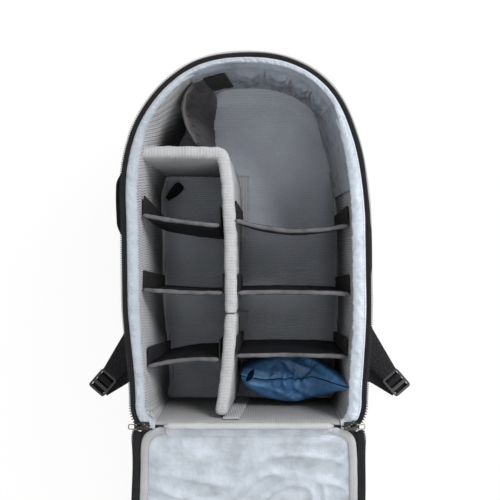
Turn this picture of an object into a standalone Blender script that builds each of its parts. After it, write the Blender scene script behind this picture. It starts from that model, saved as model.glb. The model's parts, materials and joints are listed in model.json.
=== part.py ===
"""Camera backpack lying on its back with its front flap zipped open: the construction model.

Metres, +Z up. The origin is the middle of the back pad's face, where the bag lies on the floor.
+Y points to the top of the bag and +Z out of its open front.
"""

import math

import bmesh
import bpy
from mathutils import Vector

# Clearance kept between pieces that touch on the real bag
GAP = 0.0003

# Outer cloth body: a full rounded arch on top, and sides that taper down to elliptical lower corners
HALF_WIDTH = 0.1465
HALF_LENGTH = 0.232
ARCH_Y = 0.030
ARCH_RISE = 0.198
ARCH_POWER = 2.4
TAPER = 0.0125
TAPER_HIGH = -0.070
TAPER_LOW = -0.205
CORNER_WIDTH = 0.0225
CORNER_HEIGHT = 0.030
HINGE_HALF = HALF_WIDTH - TAPER - CORNER_WIDTH

# Heights of the layers, from the floor up
PAD_TOP = 0.014
STRAP_LOW = 0.003
BACK_TOP = 0.0243
FLOOR_TOP = 0.046
RIM_TOP = 0.185
HINGE_WALL_TOP = 0.180

# Thicknesses of the body's layers
WALL = 0.015
CLOTH = 0.0015
SATIN = 0.0012
TAPE = 0.001

# Zipper: tape width outside the cloth, then the row of teeth
TAPE_WIDTH = 0.008
TEETH_WIDTH = 0.0022
ZIP_END = math.radians(28)

# Hinge line of the flap, and the padded roll that lies along it
HINGE_Y = -0.2295
HINGE_Z = 0.1848
ROLL_RADIUS = 0.0042

# Flap, measured from the hinge line while it is shut
FLAP_START = 0.010
FLAP_GAP = 0.0046
FLAP_THICK = 0.010
FLAP_SKIN = 0.0018
FLAP_LINING = 0.0014
FLAP_BORDER = 0.0105
FLAP_BORDER_HEIGHT = 0.0024
FLAP_FLOOR_GAP = 0.0005

# Padded centre divider: middle line of its two sewn panels, as places along Y and their X
DIVIDER_TOP = 0.167
CENTRE_THICK = 0.016
CENTRE_HEAD = (-0.0300, 0.1220)
CENTRE_SEAM = (-0.0206, -0.0910)
CENTRE_FOOT = (-0.0340, -0.2163)
SEAM_GAP = 0.002
ARM_LOW = 0.107
ARM_LEFT = -0.1195
HOOK_TAB = 0.0012

# Small black dividers: places along Y and how far each panel bows
SMALL_THICK = 0.006
SMALL_LOW = FLOOR_TOP + 0.002
SMALL_TOP = 0.165
SMALL_TAB_LENGTH = 0.024
SMALL_TAB_THICK = 0.0028
SMALL_PLAY = 0.0025
SMALL_TRAVEL = 0.020
SMALL_DIVIDERS = {
    "left_divider_upper": (-1, 0.0310, 0.003),
    "left_divider_middle": (-1, -0.0640, 0.002),
    "left_divider_lower": (-1, -0.1530, -0.004),
    "right_divider_upper": (1, 0.0230, 0.007),
    "right_divider_middle": (1, -0.0650, -0.002),
    "right_divider_lower": (1, -0.1450, -0.002),
}
LOWER_RIGHT_PLAY = 0.0055

# Curved divider of the upper left bay: it leans outwards from its foot
CURVED_FOOT = ((-0.0480, 0.1975), (-0.0560, 0.1620), (-0.0480, 0.1265))
CURVED_HEAD = ((-0.0620, 0.1905), (-0.0920, 0.1530), (-0.0480, 0.1265))
CURVED_TOP = 0.160
CURVED_THICK = 0.005

# Stuffed rain-cover pouch
POUCH_CENTRE = (0.0560, -0.1815, 0.0920)
POUCH_HALF = (0.0590, 0.0310, 0.0450)
POUCH_SQUARENESS = 0.62

# Harness under the bag; the left side is given and the right side mirrors it
STRAP_ROUTE = (
    (-0.0660, 0.1540),
    (-0.0920, 0.0850),
    (-0.1030, -0.0100),
    (-0.1230, -0.0850),
    (-0.1640, -0.1400),
    (-0.2135, -0.2007),
)
STRAP_WIDTHS = (0.052, 0.060, 0.062, 0.060, 0.050, 0.025)
BUCKLE_CENTRE = (-0.2250, -0.2140)
BUCKLE_HEADING = math.radians(229)
BUCKLE_LENGTH = 0.034
BUCKLE_WIDTH = 0.030
BUCKLE_LOW = 0.005
BUCKLE_HIGH = 0.010
BUCKLE_SLOT = (0.0055, 0.0235)
BUCKLE_SLOT_PLACES = (-0.0105, 0.0, 0.0105)
WEBBING_WIDTH = 0.025
WEBBING_THICK = 0.0022
WEBBING_Y = -0.1925
WEBBING_ROUTE = ((-0.2270, -0.2255), (-0.1923, -0.2045), (-0.1650, WEBBING_Y), (-0.1120, WEBBING_Y))
ANCHOR_INNER = 0.112
ANCHOR_OUTER = 0.160

# Carry handles: thickness and feet of the band, half span along the wall, then side, place and bow
HANDLE_BAND = 0.004
HANDLE_FOOT = 0.016
SIDE_HANDLE_HALF = 0.068
SIDE_HANDLE_Z = (0.115, 0.145)
SIDE_HANDLES = {"side_handle_left": (-1, 0.050, 0.0235), "side_handle_right": (1, -0.008, 0.0160)}
TOP_HANDLE_HALF = 0.060
TOP_HANDLE_BOW = 0.030
TOP_HANDLE_Z = (0.030, 0.055)

# Zipper slider and its loop pull, in the slider's own frame with X along its length
SLIDER_X = 0.1332
SLIDER_HALF = (0.007, 0.0045)
SLIDER_LOW = -0.0015
SLIDER_TOP = 0.0012
BRIDGE_OUTER = (-0.0060, 0.0008)
BRIDGE_TOP = 0.0052
BRIDGE_WALL = 0.0012
BRIDGE_HALF = 0.0013
PULL_PIVOT = (-0.0034, 0.0026)
PULL_LENGTH = 0.010
PULL_HALF = 0.0029
PULL_WIRE = 0.0008
PULL_BEND = 0.0014

# Colours of the finishes
BLACK_NYLON = (0.018, 0.019, 0.023)
BLACK_PADDING = (0.022, 0.022, 0.025)
GREY_LOOP = (0.36, 0.37, 0.40)
PALE_LOOP = (0.58, 0.59, 0.61)
SATIN_GREY = (0.52, 0.57, 0.66)
ZIP_BLACK = (0.016, 0.017, 0.020)
GUN_METAL = (0.16, 0.15, 0.14)
BUCKLE_PLASTIC = (0.030, 0.030, 0.033)
COVER_BLUE = (0.05, 0.12, 0.24)
TAUPE = (0.07, 0.065, 0.068)
BOARD = (0.10, 0.10, 0.11)


def finish(obj, colour, roughness=0.85, metallic=0.0, parent=None):
    """Links a new object, shades it smooth on its round stretches and gives it its own finish."""
    bpy.context.scene.collection.objects.link(obj)
    material = bpy.data.materials.new(obj.name)
    material.use_nodes = True
    shader = material.node_tree.nodes["Principled BSDF"]
    shader.inputs["Base Color"].default_value = (*colour, 1)
    shader.inputs["Roughness"].default_value = roughness
    shader.inputs["Metallic"].default_value = metallic
    obj.data.materials.append(material)
    obj.parent = parent
    if obj.type == "MESH":
        obj.data.shade_smooth()
        obj.data.set_sharp_from_angle(angle=math.radians(40))
    return obj


def mesh_object(name, bm, origin):
    """A mesh object at origin whose points were given in the bag's own frame."""
    bmesh.ops.translate(bm, verts=bm.verts, vec=-Vector(origin))
    mesh = bpy.data.meshes.new(name)
    bm.to_mesh(mesh)
    bm.free()
    obj = bpy.data.objects.new(name, mesh)
    obj.location = origin
    return obj


def skinned(loops):
    """A closed mesh through loops of equal length, stacked in order, with flat ends."""
    bm = bmesh.new()
    rows = [[bm.verts.new(point) for point in loop] for loop in loops]
    count = len(rows[0])
    for low, high in zip(rows, rows[1:]):
        for i in range(count):
            j = (i + 1) % count
            bm.faces.new((low[i], low[j], high[j], high[i]))
    bm.faces.new(rows[0][::-1])
    bm.faces.new(rows[-1])
    bmesh.ops.recalc_face_normals(bm, faces=bm.faces)
    return bm


def raised(polygon, z):
    return [(point[0], point[1], z) for point in polygon]


def prism(name, polygon, low, high, colour, origin=(0, 0, 0), bevel=0.0, **look):
    """A flat outline given thickness from low to high."""
    obj = mesh_object(name, skinned([raised(polygon, low), raised(polygon, high)]), origin)
    if bevel:
        soften(obj, bevel)
    return finish(obj, colour, **look)


def soften(obj, width):
    """Rounds the sharp edges of a padded piece."""
    modifier = obj.modifiers.new("soft_edge", "BEVEL")
    modifier.width = width
    modifier.segments = 2
    modifier.limit_method = "ANGLE"
    modifier.angle_limit = math.radians(50)


def ring_prism(name, outer, inner, low, high, colour, origin=(0, 0, 0), **look):
    """A closed band between two outlines of equal point count, from low to high."""
    bm = bmesh.new()
    rows = [
        [bm.verts.new(point) for point in raised(polygon, z)]
        for polygon, z in ((outer, low), (outer, high), (inner, high), (inner, low))
    ]
    count = len(outer)
    for first, second in zip(rows, rows[1:] + rows[:1]):
        for i in range(count):
            j = (i + 1) % count
            bm.faces.new((first[i], first[j], second[j], second[i]))
    bmesh.ops.recalc_face_normals(bm, faces=bm.faces)
    return finish(mesh_object(name, bm, origin), colour, **look)


def rod(name, points, radius, colour, closed=False, sides=2, origin=(0, 0, 0), **look):
    """A round bar or wire along points."""
    curve = bpy.data.curves.new(name, "CURVE")
    curve.dimensions = "3D"
    curve.bevel_depth = radius
    curve.bevel_resolution = sides
    curve.use_fill_caps = True
    spline = curve.splines.new("POLY")
    spline.points.add(len(points) - 1)
    for target, point in zip(spline.points, points):
        target.co = (*(Vector(point) - Vector(origin)), 1)
    spline.use_cyclic_u = closed
    obj = bpy.data.objects.new(name, curve)
    obj.location = origin
    return finish(obj, colour, **look)


def box(low_x, low_y, high_x, high_y):
    return [(low_x, low_y), (high_x, low_y), (high_x, high_y), (low_x, high_y)]


def rounded_box(low_x, low_y, high_x, high_y, radius, steps=5):
    """A rectangle with round corners."""
    points = []
    for cx, cy, turn in (
        (high_x - radius, low_y + radius, -90),
        (high_x - radius, high_y - radius, 0),
        (low_x + radius, high_y - radius, 90),
        (low_x + radius, low_y + radius, 180),
    ):
        for i in range(steps + 1):
            angle = math.radians(turn + 90 * i / steps)
            points.append((cx + radius * math.cos(angle), cy + radius * math.sin(angle)))
    return points


def ribbon(path, halves):
    """The outline of a band along a path, with its half width at each point."""
    path = [Vector(point) for point in path]
    sides = ([], [])
    for i, point in enumerate(path):
        along = (path[min(i + 1, len(path) - 1)] - path[max(i - 1, 0)]).normalized()
        across = Vector((-along.y, along.x)) * halves[i]
        sides[0].append(point + across)
        sides[1].append(point - across)
    return sides[1] + sides[0][::-1]


def smooth_route(points, widths, steps=5):
    """A smooth curve through the points (Catmull-Rom), with its widths, as two lists."""
    rows = [Vector((*point, width)) for point, width in zip(points, widths)]
    rows = [2 * rows[0] - rows[1]] + rows + [2 * rows[-1] - rows[-2]]
    out = []
    for a, b, c, d in zip(rows, rows[1:], rows[2:], rows[3:]):
        for i in range(steps):
            t = i / steps
            out.append(
                b
                + (c - a) * (t / 2)
                + (2 * a - 5 * b + 4 * c - d) * (t**2 / 2)
                + (3 * b - a - 3 * c + d) * (t**3 / 2)
            )
    out.append(rows[-2])
    return [row.xy for row in out], [row.z for row in out]


def arc_through(first, control, last, steps=8):
    """A quadratic curve from first to last, drawn towards control."""
    first, control, last = Vector(first), Vector(control), Vector(last)
    return [
        first * (1 - t) ** 2 + control * (2 * t * (1 - t)) + last * t**2
        for t in (i / steps for i in range(steps + 1))
    ]


def taper(y):
    """How far a side has drawn in at a place along Y, and its slope."""
    share = min(max((TAPER_HIGH - y) / (TAPER_HIGH - TAPER_LOW), 0), 1)
    slope = -6 * share * (1 - share) / (TAPER_HIGH - TAPER_LOW)
    return TAPER * share**2 * (3 - 2 * share), TAPER * slope


def corner_at(side, angle):
    """Point and outward direction on a lower corner: angle 0 is at the side, a right angle at the bottom."""
    y = CORNER_HEIGHT - HALF_LENGTH - CORNER_HEIGHT * math.sin(angle)
    drawn, slope = taper(y)
    x = HALF_WIDTH - CORNER_WIDTH * (1 - math.cos(angle)) - drawn
    rise = CORNER_HEIGHT * math.cos(angle)
    out = Vector((rise, slope * rise - CORNER_WIDTH * math.sin(angle))).normalized()
    return Vector((side * x, y)), Vector((side * out.x, out.y))


def side_at(side, y):
    """Point and outward direction on a tapering side."""
    drawn, slope = taper(y)
    out = Vector((1, slope)).normalized()
    return Vector((side * (HALF_WIDTH - drawn), y)), Vector((side * out.x, out.y))


def corner_path(side, start, steps=8):
    """Round a lower corner and up the tapering side."""
    low = CORNER_HEIGHT - HALF_LENGTH
    path = [corner_at(side, start * (1 - i / steps)) for i in range(steps + 1)]
    return path + [side_at(side, low + (TAPER_HIGH - low) * (i + 1) / steps) for i in range(steps)]


def arch_reach(share):
    """How far an arch of span and rise 1 still reaches at a share of the other direction."""
    return (1 - min(abs(share), 1) ** ARCH_POWER) ** (1 / ARCH_POWER)


def side_x(y):
    """Half the bag's width at a place along Y, above the lower corners."""
    return HALF_WIDTH * arch_reach(max(y - ARCH_Y, 0) / ARCH_RISE) - taper(y)[0]


def arch_path(steps=28):
    """The rounded top from left to right."""
    path = []
    for i in range(steps + 1):
        angle = math.pi * (1 - i / steps)
        across = math.copysign(abs(math.cos(angle)) ** (2 / ARCH_POWER), math.cos(angle))
        up = abs(math.sin(angle)) ** (2 / ARCH_POWER)
        slope = ARCH_POWER - 1
        out = Vector((math.copysign(abs(across) ** slope, across) / HALF_WIDTH, up**slope / ARCH_RISE))
        path.append((Vector((HALF_WIDTH * across, ARCH_Y + ARCH_RISE * up)), out.normalized()))
    return path


def rim_path(start=math.pi / 2):
    """Points and outward directions round the bag from the lower left corner to the lower right one."""
    return corner_path(-1, start) + arch_path() + corner_path(1, start)[::-1]


def shifted(path, distance):
    return [point + out * distance for point, out in path]


def band(path, outer, inner):
    return shifted(path, outer) + shifted(path, inner)[::-1]


def flap_loop(inset):
    """The flap's outline while shut, drawn in by inset and cut straight along the hinge."""
    cut = HINGE_Y + FLAP_START + inset
    low, high = 0.0, math.pi / 2
    for _ in range(40):
        middle = (low + high) / 2
        point, out = corner_at(1, middle)
        low, high = (middle, high) if point.y - out.y * inset > cut else (low, middle)
    return shifted(rim_path(low), -inset)


def centre_x(y):
    """Middle line of the centre divider at a place along Y."""
    first, second = (CENTRE_HEAD, CENTRE_SEAM) if y > CENTRE_SEAM[1] else (CENTRE_SEAM, CENTRE_FOOT)
    share = (y - first[1]) / (second[1] - first[1])
    return first[0] + (second[0] - first[0]) * share


def make_back():
    """Board, edge piping, floor padding and the pads that the bag lies on."""
    prism("back_board", shifted(rim_path(), 0), PAD_TOP + GAP, BACK_TOP, BLACK_NYLON)
    piping_radius = 0.0025
    edge = shifted(rim_path(), piping_radius + GAP)
    middle = (PAD_TOP + BACK_TOP) / 2
    rod("back_piping", raised(edge, middle), piping_radius, BLACK_NYLON, closed=True, sides=1)
    inside = shifted(rim_path(), -WALL - GAP)
    prism("floor_pad", inside, BACK_TOP + GAP, FLOOR_TOP, GREY_LOOP)
    prism("back_pad", rounded_box(-0.052, -0.150, 0.052, 0.105, 0.024), 0, PAD_TOP, BLACK_PADDING, bevel=0.003)
    prism("lumbar_pad", rounded_box(-0.095, -0.215, 0.095, -0.160, 0.018), 0, PAD_TOP, BLACK_PADDING, bevel=0.003)


def make_walls():
    """Foam walls, their satin rim and the outer cloth."""
    low = BACK_TOP + GAP
    top = RIM_TOP - SATIN - GAP
    skin, inner = -CLOTH - GAP, -WALL
    for name, side in (("wall_pad_left", -1), ("wall_pad_right", 1)):
        end = (Vector((side * HALF_WIDTH, ARCH_Y - GAP)), Vector((side, 0)))
        prism(name, band(corner_path(side, math.pi / 2) + [end], skin, inner), low, top, GREY_LOOP)
    prism("wall_pad_top", band(arch_path(), skin, inner), low, top, GREY_LOOP)
    reach = HINGE_HALF - GAP
    base = -HALF_LENGTH
    prism("wall_pad_bottom", box(-reach, base - skin, reach, base - inner), low, HINGE_WALL_TOP, GREY_LOOP)
    prism("rim_lining", band(rim_path(), skin, inner), RIM_TOP - SATIN, RIM_TOP, SATIN_GREY, roughness=0.45)
    cloth_top = RIM_TOP - 2 * TAPE
    prism("outer_gusset", band(rim_path(), 0, -CLOTH), low, cloth_top - GAP, BLACK_NYLON)
    prism("outer_base", box(-reach, base, reach, base + CLOTH), low, HINGE_WALL_TOP, BLACK_NYLON)


def make_body_zipper():
    """The body's half of the zipper: its tape and its row of teeth."""
    path = rim_path(ZIP_END)
    high = RIM_TOP - TAPE / 2
    prism("zipper_tape", band(path, TAPE_WIDTH, -CLOTH + GAP), high - TAPE, high, ZIP_BLACK)
    inner = TAPE_WIDTH + GAP
    low = high - (TAPE + TEETH_WIDTH) / 2
    prism("zipper_teeth", band(path, inner + TEETH_WIDTH, inner), low, low + TEETH_WIDTH, ZIP_BLACK, roughness=0.4)


def make_slider(side, name):
    """A slider parked at the lower corner: a block with a bridge over the pull's bar."""
    place = (side * SLIDER_X, HINGE_Y, HINGE_Z)

    def block(label, outline, half):
        """An outline in the slider's length and height, given a width."""
        points = [(place[0] - side * x, z + HINGE_Z) for x, z in outline]
        loops = [[(x, HINGE_Y + y, z) for x, z in points] for y in (-half, half)]
        return mesh_object(label, skinned(loops), place)

    long_half, wide_half = SLIDER_HALF
    body = block(name, box(-long_half, SLIDER_LOW, long_half, SLIDER_TOP), wide_half)
    left, right = BRIDGE_OUTER
    foot = SLIDER_TOP - BRIDGE_WALL / 2
    arch = [
        (left, foot),
        (left, BRIDGE_TOP - BRIDGE_WALL),
        (left + BRIDGE_WALL, BRIDGE_TOP),
        (right - BRIDGE_WALL, BRIDGE_TOP),
        (right, BRIDGE_TOP - BRIDGE_WALL),
        (right, foot),
        (right - BRIDGE_WALL, foot),
        (right - BRIDGE_WALL, BRIDGE_TOP - BRIDGE_WALL),
        (left + BRIDGE_WALL, BRIDGE_TOP - BRIDGE_WALL),
        (left + BRIDGE_WALL, foot),
    ]
    bridge = block(name + "_bridge", arch, BRIDGE_HALF)
    bpy.context.scene.collection.objects.link(bridge)
    bridge.hide_render = True
    bridge.display_type = "WIRE"
    join = body.modifiers.new("bridge", "BOOLEAN")
    join.operation = "UNION"
    join.object = bridge
    finish(body, GUN_METAL, roughness=0.35, metallic=1.0)


def make_pull(side, name):
    """A wire loop that swings on the bar held under the slider's bridge."""
    outline = rounded_box(PULL_PIVOT[0] - PULL_LENGTH, -PULL_HALF, PULL_PIVOT[0], PULL_HALF, PULL_BEND, 3)
    height = HINGE_Z + PULL_PIVOT[1]
    points = [(side * (SLIDER_X - x), HINGE_Y + y, height) for x, y in outline]
    pivot = (side * (SLIDER_X - PULL_PIVOT[0]), HINGE_Y, height)
    rod(name, points, PULL_WIRE, GUN_METAL, True, 1, pivot, roughness=0.3, metallic=1.0)


def make_hinge_roll():
    """The padded roll that lies on the bottom wall, along the flap's hinge line."""
    reach = HINGE_HALF - 2 * GAP
    ends = [(-reach, HINGE_Y, HINGE_Z), (reach, HINGE_Y, HINGE_Z)]
    rod("hinge_roll", ends, ROLL_RADIUS, PALE_LOOP)


def make_flap():
    """The front flap, built shut on the rim and then swung down about its hinge line."""
    axis = bpy.data.objects.new("flap_axis", None)
    bpy.context.scene.collection.objects.link(axis)
    axis.location = (0, HINGE_Y, HINGE_Z)
    reach = Vector((HALF_LENGTH - HINGE_Y, FLAP_GAP + FLAP_THICK))
    drop = math.asin((HINGE_Z - FLAP_FLOOR_GAP) / reach.length) - math.atan2(reach.y, reach.x)
    axis.rotation_euler.x = math.pi + drop

    def local(points):
        return [Vector((point[0], point[1] - HINGE_Y)) for point in points]

    inner = FLAP_GAP
    outer = FLAP_GAP + FLAP_THICK
    skin = outer - FLAP_SKIN
    lining = inner + FLAP_LINING
    prism("flap_shell", local(flap_loop(0)), skin, outer, BLACK_NYLON, parent=axis)
    prism("flap_board", local(flap_loop(0.002)), lining + GAP, skin - GAP, BOARD, parent=axis)
    inside = local(flap_loop(FLAP_BORDER + GAP))
    prism("flap_lining", inside, inner, lining, SATIN_GREY, roughness=0.45, parent=axis)
    edges = local(flap_loop(0.001)), local(flap_loop(FLAP_BORDER))
    ring_prism("flap_border", *edges, inner - FLAP_BORDER_HEIGHT, lining, PALE_LOOP, parent=axis)
    path = rim_path(ZIP_END)
    low = inner + FLAP_LINING
    tape = local(band(path, TAPE_WIDTH, GAP))
    prism("flap_zipper_tape", tape, low - TAPE, low, ZIP_BLACK, parent=axis)
    start = TAPE_WIDTH + GAP
    teeth = local(band(path, start + TEETH_WIDTH, start))
    teeth_low = low - (TAPE + TEETH_WIDTH) / 2
    prism("flap_zipper_teeth", teeth, teeth_low, teeth_low + TEETH_WIDTH, ZIP_BLACK, roughness=0.4, parent=axis)
    half = HINGE_HALF - 0.004
    strip = box(-half, ROLL_RADIUS + 5 * GAP, half, FLAP_START - GAP)
    prism("flap_hinge_tape", strip, inner, inner + TAPE, BLACK_NYLON, parent=axis)


def make_centre_divider():
    """The long padded divider in two panels, its arm to the left wall and its hook tabs."""
    low = FLOOR_TOP + GAP
    half = CENTRE_THICK / 2
    upper = ribbon([CENTRE_SEAM, CENTRE_HEAD], [half] * 2)
    below = (CENTRE_SEAM[0], CENTRE_SEAM[1] - SEAM_GAP)
    lower = ribbon([CENTRE_FOOT, below], [half] * 2)
    prism("centre_divider_upper", upper, low, DIVIDER_TOP, PALE_LOOP, bevel=0.002)
    prism("centre_divider_lower", lower, low, DIVIDER_TOP, PALE_LOOP, bevel=0.002)
    arm = box(ARM_LEFT, ARM_LOW, centre_x(CENTRE_HEAD[1]) - half - 3 * GAP, CENTRE_HEAD[1])
    prism("centre_divider_arm", arm, low, DIVIDER_TOP, PALE_LOOP, bevel=0.002)
    for name, low_y, high_y in (("floor_tab_upper", 0.006, 0.100), ("floor_tab_lower", -0.132, -0.100)):
        left = max(centre_x(low_y), centre_x(high_y)) + half + 2 * GAP
        prism(name, box(left, low_y, left + 0.014, high_y), low, low + HOOK_TAB, GREY_LOOP)
    wall = WALL - HALF_LENGTH + GAP
    left = CENTRE_FOOT[0] + half + 2 * GAP
    prism("wall_tab", box(left, wall, left + 0.022, wall + HOOK_TAB), 0.060, 0.160, GREY_LOOP)


def make_small_dividers():
    """Black padded panels across both columns, each end turned up into a hook tab."""
    for name, (side, y, bow) in SMALL_DIVIDERS.items():
        play = LOWER_RIGHT_PLAY if name == "right_divider_lower" else SMALL_PLAY
        room = min(side_x(y - SMALL_THICK), side_x(y + SMALL_TAB_LENGTH + SMALL_TRAVEL))
        wall = side * (room - WALL - 4 * GAP)
        near = centre_x(y) + side * (CENTRE_THICK / 2 + play)
        left, right = min(wall, near), max(wall, near)
        half = SMALL_THICK / 2
        middle = (left + right) / 2

        def edge(first, last, shift):
            control = Vector((middle, y + shift - 2 * bow))
            return arc_through((first, y + shift), control, (last, y + shift))

        tab = y + SMALL_TAB_LENGTH
        inset = SMALL_TAB_THICK
        outline = edge(left, right, -half) + [(right, tab), (right - inset, tab)]
        outline += edge(right - inset, left + inset, half) + [(left + inset, tab), (left, tab)]
        prism(name, outline, SMALL_LOW, SMALL_TOP, BLACK_PADDING, origin=(middle, y, SMALL_LOW))


def make_curved_divider():
    """The leaning curved divider of the upper left bay."""
    halves = [CURVED_THICK / 2] * 9
    foot = ribbon(arc_through(*CURVED_FOOT), halves)
    head = ribbon(arc_through(*CURVED_HEAD), halves)
    bm = skinned([raised(foot, FLOOR_TOP + GAP), raised(head, CURVED_TOP)])
    finish(mesh_object("curved_divider", bm, (*CURVED_FOOT[1], FLOOR_TOP)), TAUPE, roughness=0.6)


def make_floor_loop():
    """The small black tab on the floor of the upper left bay."""
    prism("floor_loop", box(-0.1220, 0.0700, -0.0970, 0.0920), FLOOR_TOP + GAP, FLOOR_TOP + 0.004, BLACK_PADDING)


def make_pouch():
    """The stuffed rain-cover pouch: a pillow whose middle is full and whose ends draw in."""

    def swell(value):
        return math.copysign(abs(value) ** POUCH_SQUARENESS, value)

    around, rings = 24, 10
    loops = []
    for i in range(1, rings):
        rise = math.pi * (i / rings - 0.5)
        loop = []
        for j in range(around):
            turn = 2 * math.pi * j / around
            shape = (
                swell(math.cos(rise)) * swell(math.cos(turn)),
                swell(math.cos(rise)) * swell(math.sin(turn)),
                swell(math.sin(rise)),
            )
            loop.append([c + h * s for c, h, s in zip(POUCH_CENTRE, POUCH_HALF, shape)])
        loops.append(loop)
    pouch = mesh_object("rain_cover_pouch", skinned(loops), POUCH_CENTRE)
    finish(pouch, COVER_BLUE, roughness=0.5)


def make_harness():
    """Yoke, shoulder straps, ladder-lock buckles, adjusting webbing and its anchors."""
    yoke = rounded_box(-0.084, 0.165, 0.084, 0.195, 0.008)
    prism("harness_yoke", yoke, PAD_TOP - 0.006, PAD_TOP, BLACK_NYLON)
    route, widths = smooth_route(STRAP_ROUTE, STRAP_WIDTHS)
    left_strap = ribbon(route, [width / 2 for width in widths])
    half_web = WEBBING_WIDTH / 2
    webbing = ribbon(WEBBING_ROUTE, [half_web] * len(WEBBING_ROUTE))
    anchor = [
        (-ANCHOR_OUTER, WEBBING_Y - half_web),
        (-ANCHOR_INNER, WEBBING_Y - 0.014),
        (-ANCHOR_INNER, WEBBING_Y + 0.030),
        (-ANCHOR_OUTER, WEBBING_Y + half_web),
    ]
    for label, side in (("left", -1), ("right", 1)):

        def sided(points):
            return [(-side * point[0], point[1]) for point in points]

        strap_top = PAD_TOP - GAP
        prism(f"shoulder_strap_{label}", sided(left_strap), STRAP_LOW, strap_top, BLACK_PADDING, bevel=0.002)
        prism(f"webbing_{label}", sided(webbing), GAP, GAP + WEBBING_THICK, BLACK_NYLON)
        prism(f"webbing_anchor_{label}", sided(anchor), STRAP_LOW, PAD_TOP - GAP, BLACK_NYLON)
        make_buckle(f"ladder_lock_{label}", side)


def make_buckle(name, side):
    """A ladder-lock: a flat frame with a slot between each pair of bars."""
    turn = BUCKLE_HEADING if side < 0 else math.pi - BUCKLE_HEADING
    along = Vector((math.cos(turn), math.sin(turn)))
    across = Vector((-along.y, along.x))
    centre = Vector((-side * BUCKLE_CENTRE[0], BUCKLE_CENTRE[1]))

    def placed(points):
        return [centre + along * x + across * y for x, y in points]

    length, width = BUCKLE_LENGTH / 2, BUCKLE_WIDTH / 2
    frame = placed(rounded_box(-length, -width, length, width, 0.004, 3))
    body = mesh_object(name, skinned([raised(frame, BUCKLE_LOW), raised(frame, BUCKLE_HIGH)]), (*centre, BUCKLE_LOW))
    slot_length, slot_width = BUCKLE_SLOT
    for i, place in enumerate(BUCKLE_SLOT_PLACES):
        hole = placed(box(place - slot_length / 2, -slot_width / 2, place + slot_length / 2, slot_width / 2))
        loops = [raised(hole, BUCKLE_LOW - 0.002), raised(hole, BUCKLE_HIGH + 0.002)]
        cutter = mesh_object(f"{name}_slot_{i}", skinned(loops), (*centre, BUCKLE_LOW))
        bpy.context.scene.collection.objects.link(cutter)
        cutter.hide_render = True
        cutter.display_type = "WIRE"
        cut = body.modifiers.new(f"slot_{i}", "BOOLEAN")
        cut.operation = "DIFFERENCE"
        cut.object = cutter
    finish(body, BUCKLE_PLASTIC, roughness=0.4)


def handle_band(span_half, bow, steps=20):
    """Outline of a carry handle along X, its feet on X = 0 and its grip bowed towards +Y."""
    lift = HANDLE_BAND / 2 + GAP
    foot = [(span_half + HANDLE_FOOT, lift), (span_half + HANDLE_FOOT / 2, lift)]
    path = [(-x, y) for x, y in foot]
    for i in range(steps + 1):
        share = i / steps
        path.append((span_half * (2 * share - 1), lift + bow * math.sin(math.pi * share) ** 2))
    path += foot[::-1]
    return ribbon(path, [HANDLE_BAND / 2] * len(path))


def make_handles():
    """Top handle, and a side handle on each wall."""
    grip = handle_band(TOP_HANDLE_HALF, TOP_HANDLE_BOW)
    top = [(x, ARCH_Y + ARCH_RISE * arch_reach(x / HALF_WIDTH) + y + 2 * GAP) for x, y in grip]
    prism("top_handle", top, *TOP_HANDLE_Z, BLACK_NYLON)
    for name, (side, middle, bow) in SIDE_HANDLES.items():
        grip = handle_band(SIDE_HANDLE_HALF, bow)
        outline = [(side * (side_x(middle + x) + y), middle + x) for x, y in grip]
        prism(name, outline, *SIDE_HANDLE_Z, BLACK_NYLON)


def main():
    for obj in list(bpy.data.objects):
        bpy.data.objects.remove(obj)
    make_back()
    make_walls()
    make_body_zipper()
    for label, side in (("left", -1), ("right", 1)):
        make_slider(side, f"slider_{label}")
        make_pull(side, f"pull_{label}")
    make_hinge_roll()
    make_flap()
    make_centre_divider()
    make_small_dividers()
    make_curved_divider()
    make_floor_loop()
    make_pouch()
    make_harness()
    make_handles()


main()
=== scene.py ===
"""Looks of the open camera backpack: cloth, padding, zippers, finishes, camera and light."""
import json
import math

import bmesh
import bpy
import numpy as np
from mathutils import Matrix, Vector, noise


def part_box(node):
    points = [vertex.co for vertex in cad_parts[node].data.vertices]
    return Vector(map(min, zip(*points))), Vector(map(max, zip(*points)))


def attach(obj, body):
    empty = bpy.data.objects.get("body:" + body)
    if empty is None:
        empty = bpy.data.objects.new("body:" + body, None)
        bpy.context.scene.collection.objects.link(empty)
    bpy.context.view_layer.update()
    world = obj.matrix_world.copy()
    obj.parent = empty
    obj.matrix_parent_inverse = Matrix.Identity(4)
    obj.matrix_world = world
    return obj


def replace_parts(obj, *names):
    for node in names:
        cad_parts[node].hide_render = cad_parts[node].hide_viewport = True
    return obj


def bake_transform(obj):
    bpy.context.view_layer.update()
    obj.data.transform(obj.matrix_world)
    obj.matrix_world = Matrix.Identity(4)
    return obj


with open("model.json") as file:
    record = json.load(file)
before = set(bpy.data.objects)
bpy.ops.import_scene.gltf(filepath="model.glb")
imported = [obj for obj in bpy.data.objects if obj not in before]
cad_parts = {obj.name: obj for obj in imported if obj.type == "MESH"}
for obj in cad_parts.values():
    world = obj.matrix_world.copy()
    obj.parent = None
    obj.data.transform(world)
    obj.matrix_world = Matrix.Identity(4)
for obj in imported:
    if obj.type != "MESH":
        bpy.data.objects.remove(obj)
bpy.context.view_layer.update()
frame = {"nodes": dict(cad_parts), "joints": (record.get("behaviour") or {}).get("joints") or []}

# The bag's outline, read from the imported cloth, floor and back
HALF_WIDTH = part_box("outer_gusset")[1].x
HALF_LENGTH = -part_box("outer_base")[0].y
ARCH_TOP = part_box("outer_gusset")[1].y
FLOOR_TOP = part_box("floor_pad")[1].z
BACK_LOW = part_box("back_board")[0].z
BACK_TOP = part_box("back_board")[1].z
ARCH_Y = 0.030
ARCH_RISE = ARCH_TOP - ARCH_Y
ARCH_POWER = 2.4
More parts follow.
